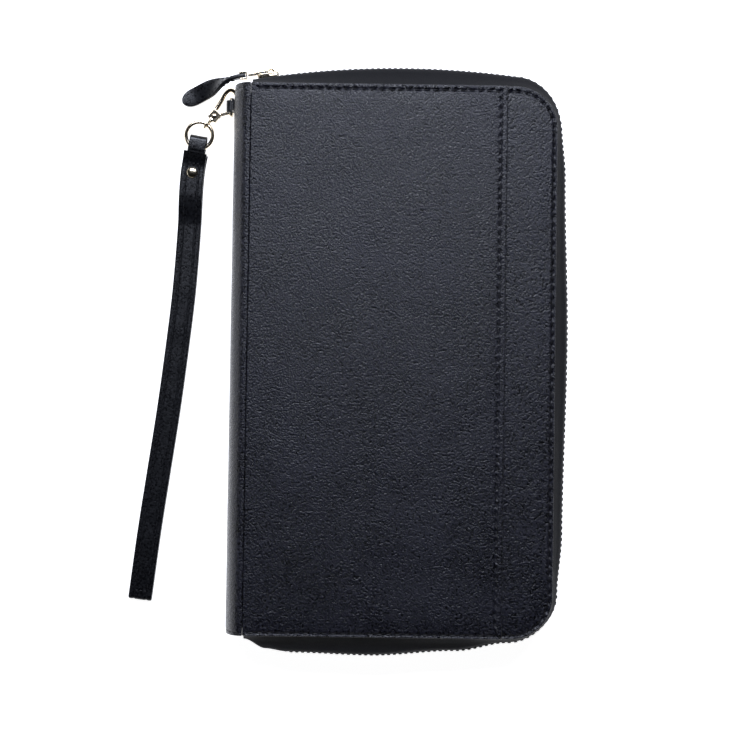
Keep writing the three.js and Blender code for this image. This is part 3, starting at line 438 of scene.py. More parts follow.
class Panel:
    """A sheet with rounded corners and edges. A seam follows each side that has an inset for one.

    The detailed face is at the top height, or at the bottom height where flipped. wrap bends the flat sheet.
    """

    WAVE_SIZE = 26.0
    GROOVE_HALF_WIDTH = 0.55
    RIM_INSET = 1.5
    SEAM_RING_STEP, RING_STEP, EDGE_RINGS = 0.3, 1.0, 5

    def __init__(self, low, high, radii=(0.8, 0.8), spacing=1.0, seams=None, pitch=3.0, bead=None,
                 groove=0.32, crown=0.0, wave=0.0, edge=0.45, flip=False, wrap=None, seed=1.0):
        (left, foot, bottom), (right, head, top) = low, high
        self.box, self.radii = (left, right, foot, head), radii
        self.bottom, self.top, self.spacing, self.edge = bottom, top, spacing, edge
        self.seams, self.pitch, self.bead, self.groove = seams or {}, pitch, bead or {}, groove
        self.crown, self.wave, self.flip, self.wrap, self.seed = crown, wave, flip, wrap, seed
        self.arcs = [max(3, round(r * math.pi / 2 / spacing)) for r in radii]
        self.side = max(round((head - foot) / spacing), 2 * max(self.arcs) + 4)
        self.across = max(round((right - left) / spacing), 4)
        self.core = min(8.0, (right - left) / 3, (head - foot) / 3)

    def chain(self, inset, on_right):
        left, right, foot, head = self.box
        radius = max(self.radii[on_right] - inset, 0.4)
        side = 1 if on_right else -1
        middle_x = (right - inset if on_right else left + inset) - side * radius
        high, low = head - inset - radius, foot + inset + radius
        turns = np.linspace(math.pi / 2, 0, self.arcs[on_right] + 1)
        arc = np.stack([middle_x + side * radius * np.cos(turns), high + radius * np.sin(turns)], 1)
        ys = np.linspace(high, low, self.side - 2 * self.arcs[on_right] + 1)[1:-1]
        straight = np.stack([np.full(len(ys), middle_x + side * radius), ys], 1)
        lower = np.stack([arc[::-1, 0], low - (arc[::-1, 1] - high)], 1)
        return np.concatenate([arc, straight, lower])

    def rows(self, inset):
        share = np.linspace(0, 1, self.across + 1)[None, :, None]
        return self.chain(inset, 0)[:, None] * (1 - share) + self.chain(inset, 1)[:, None] * share

    def rim_of(self, grid):
        """The border of a grid as a loop: head, right, foot and left."""
        return np.concatenate([grid[0], grid[1:, -1], grid[-1, -2::-1], grid[-2:0:-1, 0]])

    def loop(self, inset):
        return self.rim_of(self.rows(inset))

    def round_loop(self, values, missing):
        """A value for each point of the loop, from one for each side, eased round the corners."""
        inset = {side: values.get(side, missing) for side in ("head", "right", "foot", "left")}

        def down(side, arc):
            values = np.full(self.side + 1, inset[side])
            share = smoothstep(np.arange(arc + 1), 0, arc)
            values[:arc + 1] = inset["head"] * (1 - share) + inset[side] * share
            values[-arc - 1:] = (inset["foot"] * (1 - share) + inset[side] * share)[::-1]
            return values

        right, left = down("right", self.arcs[1]), down("left", self.arcs[0])
        ends = np.full(self.across, inset["foot"])
        return np.concatenate([np.full(self.across + 1, inset["head"]), right[1:], ends, left[-2:0:-1]])

    def seam_insets(self):
        """The seam's inset at each point of the loop, and NaN where there is none."""
        return self.round_loop(self.seams, np.nan)

    def relief(self, flat, inset, seam=None, along=None):
        """Height of the detailed face over its flat top: waves, crown, seam grooves and beads."""
        height = np.zeros(flat.shape[:-1])
        if self.wave:
            height = self.wave * waves(flat[..., 0], flat[..., 1], self.WAVE_SIZE, self.seed)
        height = height * smoothstep(inset, self.RIM_INSET, 9.0)
        if seam is None:
            return height + self.crown
        sewn = ~np.isnan(seam)
        at = np.where(sewn, seam, 0.0)
        pull = 0.54 + 0.46 * np.cos(2 * math.pi * along / self.pitch)
        groove = self.groove * np.exp(-((inset - at) / self.GROOVE_HALF_WIDTH) ** 2) * pull
        bead = self.round_loop(self.bead, 0.0) * (1 - smoothstep(inset - at, -0.3, 0.9))
        rise = self.crown * smoothstep(inset, np.where(sewn, at, 0.0), self.core)
        return height + rise + np.where(sewn, bead - groove, 0.0)

    def placed(self, flat, z):
        """Points of the sheet at a height, flipped and bent as the panel is."""
        z = np.broadcast_to(z, flat.shape[:-1])
        if self.flip:
            z = self.bottom + self.top - z
        return np.concatenate([flat, z[..., None]], -1).reshape(-1, 3)

    def bent(self, points):
        return self.wrap(points) if self.wrap else points

    def along(self):
        path = self.loop(self.RIM_INSET)
        steps = np.linalg.norm(np.diff(path, axis=0, append=path[:1]), axis=1)
        return np.concatenate([[0], np.cumsum(steps)[:-1]])

    def mesh(self):
        seam = self.seam_insets()
        along = self.along()
        finest = max(self.seams.values(), default=0.0) + 1.2
        insets = [self.edge * (1 - math.cos(t)) for t in np.linspace(0, math.pi / 2, self.EDGE_RINGS)]
        while insets[-1] < self.core - 0.9:
            by_seam = insets[-1] < finest and self.seams
            insets.append(insets[-1] + (self.SEAM_RING_STEP if by_seam else self.RING_STEP))
        insets.append(self.core)
        lower = min(0.25, (self.top - self.bottom) / 3)
        rings = [self.placed(self.loop(lower), self.bottom), self.placed(self.loop(0.0), self.bottom + lower)]
        for inset in insets:
            flat = self.loop(inset)
            fall = self.edge - math.sqrt(max(self.edge ** 2 - max(self.edge - inset, 0) ** 2, 0))
            z = self.top + self.relief(flat, inset, seam, along) * smoothstep(inset, -0.6, 0.5) - fall
            rings.append(self.placed(flat, z))
        count = len(rings[0])
        core = self.rows(self.core)
        rim = self.rim_of(np.arange(core.shape[0] * core.shape[1]).reshape(core.shape[:2]))
        core_points = self.placed(core, self.top + self.relief(core, self.core))
        rings[-1] = core_points[rim]
        points = np.concatenate(rings[:-1] + [core_points])
        faces = grid_faces(len(rings) - 1, count, wrap_columns=True)
        start = (len(rings) - 1) * count
        last = start - count
        for j in range(count):
            k = (j + 1) % count
            faces.append([last + j, last + k, start + int(rim[k]), start + int(rim[j])])
        faces += grid_faces(core.shape[0], core.shape[1], start)
        if self.wrap:
            back_start = len(points)
            back = self.placed(core, self.bottom)
            points = np.concatenate([points, back])
            faces += [face[::-1] for face in grid_faces(core.shape[0], core.shape[1], back_start)]
            for j in range(count):
                k = (j + 1) % count
                faces.append([k, j, back_start + int(rim[j]), back_start + int(rim[k])])
        else:
            faces.append(list(range(count))[::-1])
        return self.bent(points), faces, points[:, :2]

    def stitches(self, gap=0.75, width=0.52):
        """Thread along the seams, one run for each stretch of neighbouring sides that have one."""
        seam = self.seam_insets()
        wanted = ~np.isnan(seam)
        loops = {value: self.loop(value) for value in np.unique(np.round(seam[wanted], 2))}
        flat = np.array([loops[round(s, 2)][j] if ok else (0, 0)
                         for j, (s, ok) in enumerate(zip(seam, wanted))])
        runs, run = [], []
        if wanted.all():
            runs = [list(range(len(seam))) + [0]]
        else:
            first = int(np.argmin(wanted))
            for j in [(first + i) % len(seam) for i in range(len(seam))] + [first]:
                if wanted[j]:
                    run.append(j)
                elif run:
                    runs.append(run)
                    run = []
        parts = []
        for run in runs:
            z = self.top + 0.4 * self.round_loop(self.bead, 0.0)[run] - self.groove * 0.6
            low = self.bent(self.placed(flat[run], z))
            high = self.bent(self.placed(flat[run], z + 0.5))
            up = (high - low) / np.linalg.norm(high - low, axis=1)[:, None]
            parts.append(stitches_on(low, self.pitch, up, gap, width))
        return merged(*parts)

    def piece(self, name, material):
        points, faces, uv = self.mesh()
        return mesh_object(name, points, faces, material, uv)


# ---------- Covers and spine ----------

STITCH_PITCH = 3.8
SEAMS = {"head": 2.3, "right": 1.5, "foot": 1.3}
POCKET_EDGE_SEAM = 2.8
COVER_RADII = (0.5, CORNER_RADIUS)
PRESSED_EDGE = {"head": -0.25, "right": -0.25, "foot": -0.25}
COVER_GROOVE = 0.78
COVER_SPACING = 0.8


def thread(name, body, *parts):
    return attach(mesh_object(name, *merged(*parts), THREAD), body, "cover_leather")


def cover(side, flip, seed):
    node = f"{side}_leather"
    panel = Panel(*span(node), COVER_RADII, COVER_SPACING, SEAMS, STITCH_PITCH, bead=PRESSED_EDGE,
                  groove=COVER_GROOVE, crown=0.2, wave=0.12, edge=0.5, flip=flip, seed=seed)
    attach(panel.piece(f"{side}_cover_leather", COVER), f"{side}_cover", "cover_leather", node)
    return panel


front, back = cover("front", False, 7.0), cover("back", True, 3.0)

outer_seams = {"head": SEAMS["head"], "right": POCKET_EDGE_SEAM, "foot": SEAMS["foot"]}
outer = Panel(POCKET_LOW, POCKET_HIGH, (0.5, 0.5), COVER_SPACING, outer_seams, STITCH_PITCH,
              bead={**PRESSED_EDGE, "right": 0.16}, groove=COVER_GROOVE, crown=0.2, wave=0.14, edge=0.5,
              seed=5.0)
attach(outer.piece("outer_pocket_leather", COVER), "front_cover", "cover_leather", "front_outer_pocket")

thread("front_cover_thread", "front_cover", front.stitches(), outer.stitches())
thread("back_cover_thread", "back_cover", back.stitches())


def spine_wrap(inset=0.0):
    """Bends a flat sheet round the spine's half ellipse. The sheet's x runs from back to front."""
    across, up = SPINE_BULGE - inset, MIDDLE_Z - inset
    turns = np.linspace(-math.pi / 2, math.pi / 2, 400)
    steps = np.hypot(np.diff(across * np.cos(turns)), np.diff(up * np.sin(turns)))
    along = np.concatenate([[0], np.cumsum(steps)])

    def wrap(points):
        distance = points[:, 0]
        turn = np.interp(distance, along, turns)
        normal = np.stack([-up * np.cos(turn), np.zeros(len(turn)), across * np.sin(turn)], 1)
        normal /= np.linalg.norm(normal, axis=1)[:, None]
        beyond = np.maximum(-distance, 0) + np.maximum(distance - along[-1], 0)
        on_curve = np.stack([FOLD_X - across * np.cos(turn) + beyond, points[:, 1],
                             MIDDLE_Z + up * np.sin(turn)], 1)
        return on_curve + normal * points[:, 2:3]

    return wrap, along[-1]


SPINE_TO_PANEL = 0.72
SPINE_LEATHER = 1.3
SPINE_LINING_INSET, SPINE_LINING = 1.45, 0.6

wrap, length = spine_wrap()
spine = Panel((-SPINE_TO_PANEL, FOOT, -SPINE_LEATHER), (length + SPINE_TO_PANEL, HEAD, 0.0), (0.4, 0.4),
              COVER_SPACING, {"head": SEAMS["head"], "foot": SEAMS["foot"]}, STITCH_PITCH,
              bead=PRESSED_EDGE, groove=0.4, wave=0.10, edge=0.25, wrap=wrap, seed=11.0)
spine_skin = attach(spine.piece("spine_leather_skin", COVER), "spine", "cover_leather", "spine_leather")
spine_thread = thread("spine_thread", "spine", spine.stitches())

low, high = span("spine_lining")
wrap, length = spine_wrap(SPINE_LINING_INSET)
spine_inside = Panel((0, low[1], -SPINE_LINING), (length, high[1], 0.0), spacing=1.6, wave=0.1, edge=0.2,
                     wrap=wrap)
spine_cloth = attach(spine_inside.piece("spine_lining_cloth", LINING), "spine", "lining", "spine_lining")

# Each soft spine piece gets its own copy of its mesh.
for soft in (spine_skin, spine_thread, spine_cloth):
    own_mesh(soft)


# ---------- Zip ----------

ZIP_START_X = -57.0
TAPE_TAIL = 3.0
HEAD_ARC_RADIUS, HEAD_ARC_X, HEAD_BULGE = 377.0, 4.7, 7.9
TEETH_LOW, TEETH_DEPTH, TEETH_PITCH = 10.75, 2.0, 2.4
CORD_DEPTH, CORD_HEIGHT = 0.5, 0.42
TAPE_LOW, TAPE_HIGH, TAPE_FLANGE, TAPE_THICKNESS = 1.45, 10.5, 6.0, 0.6
FRONT_FLANGE_DROP = 1.25
CORNER_X = RIGHT - CORNER_RADIUS
CORNER_Y = HEAD - CORNER_RADIUS


def head_bulge(x):
    return HEAD_BULGE - HEAD_ARC_RADIUS + np.sqrt(HEAD_ARC_RADIUS ** 2 - (x - HEAD_ARC_X) ** 2)


# How far the teeth stand beyond the leather's edge past the head: [share of the way, bulge].
FREE_BULGE = [(0, float(head_bulge(CORNER_X))), (0.07, 2.0), (0.13, 3.6), (0.32, 5.2), (0.55, 3.8),
              (0.62, 2.0), (0.66, 1.1), (0.7, 1.8), (0.76, 5.4), (0.86, 7.8), (0.95, 7.0), (0.975, 5.8),
              (1, 1.8)]


def free_bulge(share):
    bulge = np.full(np.shape(share), FREE_BULGE[0][1])
    for (at, value), (next_at, next_value) in zip(FREE_BULGE, FREE_BULGE[1:]):
        inside = (share >= at) & (share <= next_at)
        bulge = np.where(inside, value + (next_value - value) * smoothstep(share, at, next_at), bulge)
    return np.where(share > 1, FREE_BULGE[-1][1], bulge)


class ZipPath:
    """The way round the leather's edge from the spine at the head to the spine at the foot."""

    def __init__(self, start_x):
        self.start_x = start_x
        quarter = CORNER_RADIUS * math.pi / 2
        self.legs = np.cumsum([0, CORNER_X - start_x, quarter, 2 * CORNER_Y, quarter, CORNER_X - start_x])
        self.length = self.legs[-1]

    def at(self, distance):
        """Points on the edge, outward normals and bulges at distances along the way."""
        distance = np.clip(np.asarray(distance, float), 0, self.length)
        leg = np.clip(np.searchsorted(self.legs, distance, side="right") - 1, 0, 4)
        gone = distance - self.legs[leg]
        quarter = math.pi / 2
        turn = np.select([leg == 0, leg == 1, leg == 2, leg == 3],
                         [quarter, quarter - gone / CORNER_RADIUS, 0.0, -gone / CORNER_RADIUS], -quarter)
        normal = np.stack([np.cos(turn), np.sin(turn)], 1)
        centre_x = np.select([leg == 0, leg == 4], [self.start_x + gone, CORNER_X - gone], CORNER_X)
        centre_y = np.select([leg <= 1, leg == 2], [CORNER_Y, CORNER_Y - gone], -CORNER_Y)
        edge = np.stack([centre_x, centre_y], 1) + normal * CORNER_RADIUS
        share = (distance - self.legs[1]) / (self.length - self.legs[1])
        bulge = np.where(leg == 0, head_bulge(edge[:, 0]), free_bulge(share))
        return edge, normal, bulge

    def outer(self, distance):
        """Points on the line that the teeth follow."""
        edge, normal, bulge = self.at(distance)
        return edge + normal * bulge[:, None]


def rounded_course(points, rounds=2):
    """A polyline with its corners cut twice over, ends kept."""
    points = np.asarray(points, float)
    for _ in range(rounds):
        a, b = points[:-1], points[1:]
        inner = np.stack([0.75 * a + 0.25 * b, 0.25 * a + 0.75 * b], 1).reshape(-1, points.shape[1])
        points = np.concatenate([points[:1], inner, points[-1:]])
    return points


def tape_piece(name, front):
    path = ZipPath(ZIP_START_X - TAPE_TAIL)
    stations = np.linspace(0, path.length, int(path.length / 1.2))
    edge, normal, bulge = path.at(stations)
    middle_low = TAPE_LOW + TAPE_THICKNESS / 2
    sections, uv = [], []
    for s, e, n, b in zip(stations, edge, normal, bulge):
        slack = 0.35 * noise.noise(Vector((s / 17.0, 3.0 if front else 9.0, 0)))
        course = rounded_course([(-TAPE_FLANGE, middle_low), (-1.4, middle_low), (-0.3, middle_low + 0.15),
                                 (b * 0.5 + slack, 4.6), (b * 0.86 + slack, 6.5), (b, 8.2), (b, TAPE_HIGH)])
        along = np.gradient(course, axis=0)
        side = np.stack([-along[:, 1], along[:, 0]], 1)
        side *= TAPE_THICKNESS / 2 / np.linalg.norm(side, axis=1)[:, None]
        ring = np.concatenate([course + side, (course - side)[::-1]])
        z = ring[:, 1]
        if front:
            z = 2 * MIDDLE_Z - z - FRONT_FLANGE_DROP * (1 - smoothstep(z, 3.5, 7.5))
        sections.append(np.stack([e[0] + n[0] * ring[:, 0], e[1] + n[1] * ring[:, 0], z], 1))
        width = np.concatenate([[0], np.cumsum(np.linalg.norm(np.diff(course, axis=0), axis=1))])
        uv += [(s, w) for w in np.concatenate([width, width[::-1]])]
    points, faces = loft(sections)
    return mesh_object(name, points, faces, TAPE, uv)


def teeth_piece(name, front):
    """Moulded teeth on a cord. The rows are half a pitch apart, so that their heads interleave."""
    path = ZipPath(ZIP_START_X)
    first = TEETH_PITCH * (0.75 if front else 0.25)
    distances = np.arange(first, path.length - TEETH_PITCH / 2, TEETH_PITCH)
    here = path.outer(distances)
    along = path.outer(distances + 0.2) - here
    along /= np.linalg.norm(along, axis=1)[:, None]
    out = np.stack([-along[:, 1], along[:, 0]], 1)
    up = -1.0 if front else 1.0
    base = 2 * MIDDLE_Z - TEETH_LOW if front else TEETH_LOW
    flat = np.zeros((len(here), 1))
    frames = np.stack([np.hstack([here, flat + base]), np.hstack([along, flat]), np.hstack([out, flat]),
                       np.tile([0, 0, up], (len(here), 1))], 1)
    # Foot, neck and head of one tooth: length, depth and height, edge radius, and height of its middle
    tooth = [rounded_box(long, TEETH_DEPTH + deeper, high, radius, (0, 0, middle))
             for long, deeper, high, radius, middle in ((1.45, 0.1, 1.5, 0.32, 0.75),
                                                        (0.8, -0.5, 1.0, 0.25, 1.55),
                                                        (1.15, -0.3, 0.6, 0.28, 1.9))]
    teeth = repeated(*merged(*tooth), frames)
    stations = np.linspace(0, path.length, int(path.length / 2))
    centre = np.hstack([path.outer(stations), np.full((len(stations), 1), base + up * 0.35)])
    rings = []
    for c, n in zip(centre, path.at(stations)[1]):
        rings.append([c + CORD_DEPTH * math.cos(k * math.pi / 4) * np.array([n[0], n[1], 0])
                      + CORD_HEIGHT * math.sin(k * math.pi / 4) * np.array([0, 0, 1]) for k in range(8)])
    return mesh_object(name, *merged(teeth, loft(rings)), TEETH)


for side, front_half in (("back", False), ("front", True)):
    attach(tape_piece(f"{side}_tape_cloth", front_half), f"{side}_cover", "zip_tape", f"{side}_zip_tape")
    attach(teeth_piece(f"{side}_teeth_row", front_half), f"{side}_cover", "zip_teeth", f"{side}_zip_teeth")


def stop_piece(name, node, body):
    low, high = span(node)
    size, middle = high - low, (low + high) / 2
    block = rounded_box(size[0], size[1], size[2], 0.35, middle)
    ridges = [rounded_box(size[0] * 0.24, size[1] + 0.16, size[2] + 0.16, 0.2, middle + (dx, 0, 0))
              for dx in (-size[0] * 0.27, size[0] * 0.27)]
    attach(mesh_object(name, *merged(block, *ridges), TEETH), body, "zip_stop", node)


stop_piece("back_head_stop", "back_top_stop", "back_cover")
stop_piece("front_head_stop", "front_top_stop", "front_cover")
stop_piece("foot_stop", "bottom_stop", "back_cover")


# ---------- Metal hardware ----------

def softened(name, node, material, voxel, rounds, crease_deg=60.0):
    """A copy of a CAD node with fine even faces and every edge eased, as if cast or stamped."""
    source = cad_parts[node].data
    mesh = bpy.data.meshes.new(name + "_work")
    points = np.array([v.co for v in source.vertices], float) / MM
    mesh.from_pydata(points.tolist(), [], [list(p.vertices) for p in source.polygons])
    work = bpy.data.objects.new(name + "_work", mesh)
    bpy.context.scene.collection.objects.link(work)
    remesh = work.modifiers.new("remesh", "REMESH")
    remesh.mode, remesh.voxel_size = "VOXEL", voxel
    ease = work.modifiers.new("ease", "SMOOTH")
    ease.factor, ease.iterations = 0.5, rounds
    evaluated = work.evaluated_get(bpy.context.evaluated_depsgraph_get())
    fine = evaluated.to_mesh()
    points = np.array([v.co for v in fine.vertices], float)
    faces = [list(p.vertices) for p in fine.polygons]
    evaluated.to_mesh_clear()
    bpy.data.objects.remove(work)
    return mesh_object(name, points, faces, material, crease_deg=crease_deg)


def wire(course, radius, sides=20, closed=False):
    """Points and faces of a round wire along a smooth course, with domed ends where it is open."""
    course = np.asarray(course, float)
    if closed:
        tangents = np.roll(course, -1, 0) - np.roll(course, 1, 0)
    else:
        tangents = np.gradient(course, axis=0)
    tangents /= np.linalg.norm(tangents, axis=1)[:, None]
    reference = np.linalg.svd(course - course.mean(0))[2][2]
    side = np.cross(tangents, reference)
    side /= np.linalg.norm(side, axis=1)[:, None]
    other = np.cross(tangents, side)
    radii = np.full(len(course), radius)
    if not closed:
        ends = [math.radians(a) for a in (75, 50, 25)]
        domes = [(course[0] - tangents[0] * radius * math.sin(a), radius * math.cos(a)) for a in ends]
        caps = [(course[-1] + tangents[-1] * radius * math.sin(a), radius * math.cos(a)) for a in ends[::-1]]
        course = np.concatenate([[c for c, _ in domes], course, [c for c, _ in caps]])
        radii = np.concatenate([[r for _, r in domes], radii, [r for _, r in caps]])
        side = np.concatenate([side[:1]] * 3 + [side] + [side[-1:]] * 3)
        other = np.concatenate([other[:1]] * 3 + [other] + [other[-1:]] * 3)
    turns = np.linspace(0, 2 * math.pi, sides, endpoint=False)[None, :, None]
    spokes = np.cos(turns) * side[:, None] + np.sin(turns) * other[:, None]
    return loft(course[:, None] + radii[:, None, None] * spokes, closed=closed)


def smooth_curve(points, per_step=16):
    """A centripetal Catmull-Rom curve through points."""
    points = np.asarray(points, float)
    padded = np.concatenate([[2 * points[0] - points[1]], points, [2 * points[-1] - points[-2]]])
    made = []
    for p0, p1, p2, p3 in zip(padded, padded[1:], padded[2:], padded[3:]):
        t1 = np.linalg.norm(p1 - p0) ** 0.5
        t2 = t1 + np.linalg.norm(p2 - p1) ** 0.5
        t3 = t2 + np.linalg.norm(p3 - p2) ** 0.5
        t = np.linspace(t1, t2, per_step, endpoint=False)[:, None]
        a1, a2 = (t1 - t) / t1 * p0 + t / t1 * p1, (t2 - t) / (t2 - t1) * p1 + (t - t1) / (t2 - t1) * p2
        a3 = (t3 - t) / (t3 - t2) * p2 + (t - t2) / (t3 - t2) * p3
        b1, b2 = (t2 - t) / t2 * a1 + t / t2 * a2, (t3 - t) / (t3 - t1) * a2 + (t - t1) / (t3 - t1) * a3
        made.append((t2 - t) / (t2 - t1) * b1 + (t - t1) / (t2 - t1) * b2)
    return np.concatenate(made + [points[-1:]])


def circle(centre, radius, first, second, count):
    turns = np.linspace(0, 2 * math.pi, count, endpoint=False)[:, None]
    return centre + radius * (np.cos(turns) * first + np.sin(turns) * second)


def metal(name, parts, body, *nodes):
    return attach(mesh_object(name, *merged(*parts), GOLD, crease_deg=50.0), body, "gold_metal", *nodes)


def castings(voxel, *rows):
    """Metal pieces eased from CAD nodes. Each row is a name, its node, its body and rounds of easing."""
    for name, node, body, rounds in rows:
        attach(softened(name, node, GOLD, voxel, rounds), body, "gold_metal", node)


# Zip slider, link and cap
castings(0.11, ("slider_casting", "zip_slider", "slider", 6), ("link_casting", "puller_link", "puller", 6),
         ("cap_casting", "puller_cap", "puller", 4))

# D-ring: its bar and its bow are one wire. Each arc is a centre (y, z), a radius, two angles and points.
DRING_WIRE, DRING_HALF, DRING_LEG, DRING_CORNER = 1.4, 3.5, 3.1, 1.0
low, high = span("d_ring")
dring_x, dring_y = (low[0] + high[0]) / 2, (low[1] + high[1]) / 2
bar_z = high[2] - DRING_WIRE / 2
corner_y, corner_z = DRING_HALF - DRING_CORNER, bar_z - DRING_CORNER
dring_course = []
for centre_y, centre_z, radius, start, end, count in ((corner_y, corner_z, DRING_CORNER, 90, 0, 9),
                                                      (0, bar_z - DRING_LEG, DRING_HALF, 0, -180, 33),
                                                      (-corner_y, corner_z, DRING_CORNER, 180, 90, 9)):
    for angle in np.radians(np.linspace(start, end, count)):
        dring_course.append((dring_x, dring_y + centre_y + radius * math.cos(angle),
                             centre_z + radius * math.sin(angle)))
dring_course, _ = resampled(dring_course, 0.35, closed=True)
metal("d_ring_wire", [wire(dring_course, DRING_WIRE / 2, closed=True)], "strap_d_ring", "d_ring")

# Snap hook, its gate and the rivet that the gate turns on
castings(0.1, ("hook_casting", "hook_claw", "snap_hook", 14), ("gate_casting", "hook_gate", "gate", 6))
low, high = span("gate_pin")
pin_middle, pin_radius = (low + high) / 2, (high[0] - low[0]) / 2


def lathe(profile, centre, sides=32):
    """Points and faces of a turned piece: its profile is a list of (radius, height) from bottom to top."""
    turns = np.linspace(0, 2 * math.pi, sides, endpoint=False)
    return loft([[(centre[0] + r * math.cos(t), centre[1] + r * math.sin(t), z) for t in turns]
                 for r, z in profile])


def dome_profile(radius, base, rise, rim, steps=8):
    """A rivet head: a rounded rim and a dome above it."""
    profile = [(radius * 0.9, base), (radius, base + rim * 0.4)]
    for i in range(steps):
        angle = math.pi / 2 * i / steps
        profile.append((radius * math.cos(angle), base + rim + rise * math.sin(angle)))
    return profile + [(radius * 0.02, base + rim + rise)]


head_radius, head_rise = 1.15, 0.35
pin_body = [(pin_radius, low[2] + 0.1), (pin_radius, high[2] - 0.05)]
pin_head = dome_profile(head_radius, high[2] - 0.08, head_rise, 0.12)
pin_tail = [(r, low[2] + high[2] - z) for r, z in reversed(pin_head)]
metal("gate_rivet", [lathe(pin_body, pin_middle), lathe(pin_head, pin_middle), lathe(pin_tail, pin_middle)],
      "snap_hook", "gate_pin")

# Swivel eye and round ring
HOOK_AXIS = np.array([math.cos(math.radians(49)), math.sin(math.radians(49)), 0])
SWIVEL_SEAT = np.array([-78.434, 102.466, 4.7])
EYE_RADIUS, EYE_WIRE, EYE_OFFSET = 1.75, 1.1, 2.8
UP = np.array([0, 0, 1.0])
eye_centre = SWIVEL_SEAT - HOOK_AXIS * EYE_OFFSET
eye_loop = wire(circle(eye_centre, EYE_RADIUS, HOOK_AXIS, UP, 48), EYE_WIRE / 2, 16, closed=True)
stem_from, stem_to = eye_centre + HOOK_AXIS * (EYE_RADIUS - 0.1), SWIVEL_SEAT + HOOK_AXIS * 0.5
stem = wire([stem_from + (stem_to - stem_from) * i / 6 + UP * 1e-4 * (i % 2) for i in range(7)], 0.8, 20)
metal("swivel_loop", [eye_loop, stem], "swivel", "swivel_eye")

RING_CENTRE = np.array([-83.54, 95.686, 4.558])
RING_LOW = np.array([-84.486, 90.067, 4.4])
RING_RADIUS, RING_WIRE = 5.7, 1.7
to_strap = (RING_LOW - RING_CENTRE) / np.linalg.norm(RING_LOW - RING_CENTRE)
sideways = np.cross(UP, to_strap)
sideways /= np.linalg.norm(sideways)
ring_circle = circle(RING_CENTRE, RING_RADIUS, to_strap, sideways, 120)
metal("ring_wire", [wire(ring_circle, RING_WIRE / 2, 24, closed=True)], "strap_ring", "round_ring")


# ---------- Wrist strap ----------

STRAP_WIDTH, STRAP_PLY, STRAP_PLY_GAP, STRAP_LIFT = 10.0, 1.25, 0.25, 0.8
TONGUE_WIDTH, TONGUE_LEATHER, TONGUE_HEAD, TONGUE_LENGTH = 7.4, 0.8, 3.4, 17.0
LAYER_GAP = 0.15
STRAP_COURSE = [(0, 0), (-1.7, -10.1), (-3.0, -35.7), (-4.7, -61.3), (-7.4, -87.0), (-10.5, -112.6),
                (-14.1, -138.2), (-17.7, -163.9), (-21.3, -193.4)]
PLIES_START = 1.2 + RING_WIRE / 2
TONGUE_END = PLIES_START + TONGUE_LENGTH
TONGUE_LOW = STRAP_LIFT + STRAP_PLY + LAYER_GAP + TONGUE_LEATHER / 2
TONGUE_ROUND = RING_WIRE / 2 + 0.55 + TONGUE_LEATHER / 2

strap_line = smooth_curve([(RING_LOW[0] + x, RING_LOW[1] + y) for x, y in STRAP_COURSE], 40)
strap_steps = np.linalg.norm(np.diff(strap_line, axis=0), axis=1)
strap_along = np.concatenate([[0], np.cumsum(strap_steps)])
STRAP_LENGTH = strap_along[-1]
STRAP_END = STRAP_LENGTH - 1.5


def strap_at(distance):
    """Points on the strap's middle line and its directions, also on the straight beyond either end."""
    distance = np.asarray(distance, float)
    inside = np.clip(distance, 0, STRAP_LENGTH)
    slope = np.gradient(strap_line, strap_along, axis=0)
    tangent = np.stack([np.interp(inside, strap_along, slope[:, k]) for k in (0, 1)], -1)
    tangent /= np.linalg.norm(tangent, axis=-1)[..., None]
    point = np.stack([np.interp(inside, strap_along, strap_line[:, k]) for k in (0, 1)], -1)
    return point + tangent * (distance - inside)[..., None], tangent


def tongue_high(distance):
    down = smoothstep(distance, 0, PLIES_START + 5.5)
    top, bottom = RING_LOW[2] + TONGUE_ROUND, TONGUE_LOW + TONGUE_LEATHER + LAYER_GAP
    return top + (bottom - top) * down


def ply_z(distance, upper):
    closed = smoothstep(distance, TONGUE_END + 0.5, TONGUE_END + 14)
    lower = STRAP_LIFT * (1 - closed) + STRAP_PLY / 2
    if not upper:
        return lower
    over_tongue = tongue_high(distance) + (TONGUE_LEATHER + STRAP_PLY) / 2 + LAYER_GAP
    return over_tongue + (lower + STRAP_PLY + STRAP_PLY_GAP - over_tongue) * closed


def ribbon_section(width, thickness, seam=None, puff=0.0):
    """A flat strip's outline as (side, height), with round edges. Its outer face is the lower one."""
    edge = min(thickness * 0.42, 0.5)
    half, deep = width / 2, thickness / 2
    outline = []
    for corner_x, corner_z, start in ((half - edge, deep - edge, 0), (edge - half, deep - edge, 90),
                                      (edge - half, edge - deep, 180), (half - edge, edge - deep, 270)):
        for i in range(5):
            angle = math.radians(start + 90 * i / 4)
            outline.append((corner_x + edge * math.cos(angle), corner_z + edge * math.sin(angle)))
        if start in (0, 180):
            way = 1 if start == 180 else -1
            for side in np.linspace(-way * (half - edge), way * (half - edge), 40)[1:-1]:
                height = deep if start == 0 else -deep
                if start == 180:
                    height -= puff * (1 - (side / half) ** 4)
                    if seam:
                        height += 0.22 * math.exp(-((abs(side) - seam) / 0.45) ** 2)
                outline.append((side, height))
    return np.array(outline)


def ribbon(route, section):
    """Sweeps a section along a route of (distance, height, turn) beside the strap's middle line."""
    route = np.asarray(route, float)
    point, tangent = strap_at(route[:, 0])
    across = np.stack([-tangent[:, 1], tangent[:, 0], np.zeros(len(route))], 1)
    forward = np.hstack([tangent, np.zeros((len(route), 1))])
    normal = -np.sin(route[:, 2:3]) * forward + np.cos(route[:, 2:3]) * UP
    centre = np.hstack([point, route[:, 1:2]])
    return centre[:, None] + section[:, :1] * across[:, None] + section[:, 1:] * normal[:, None]


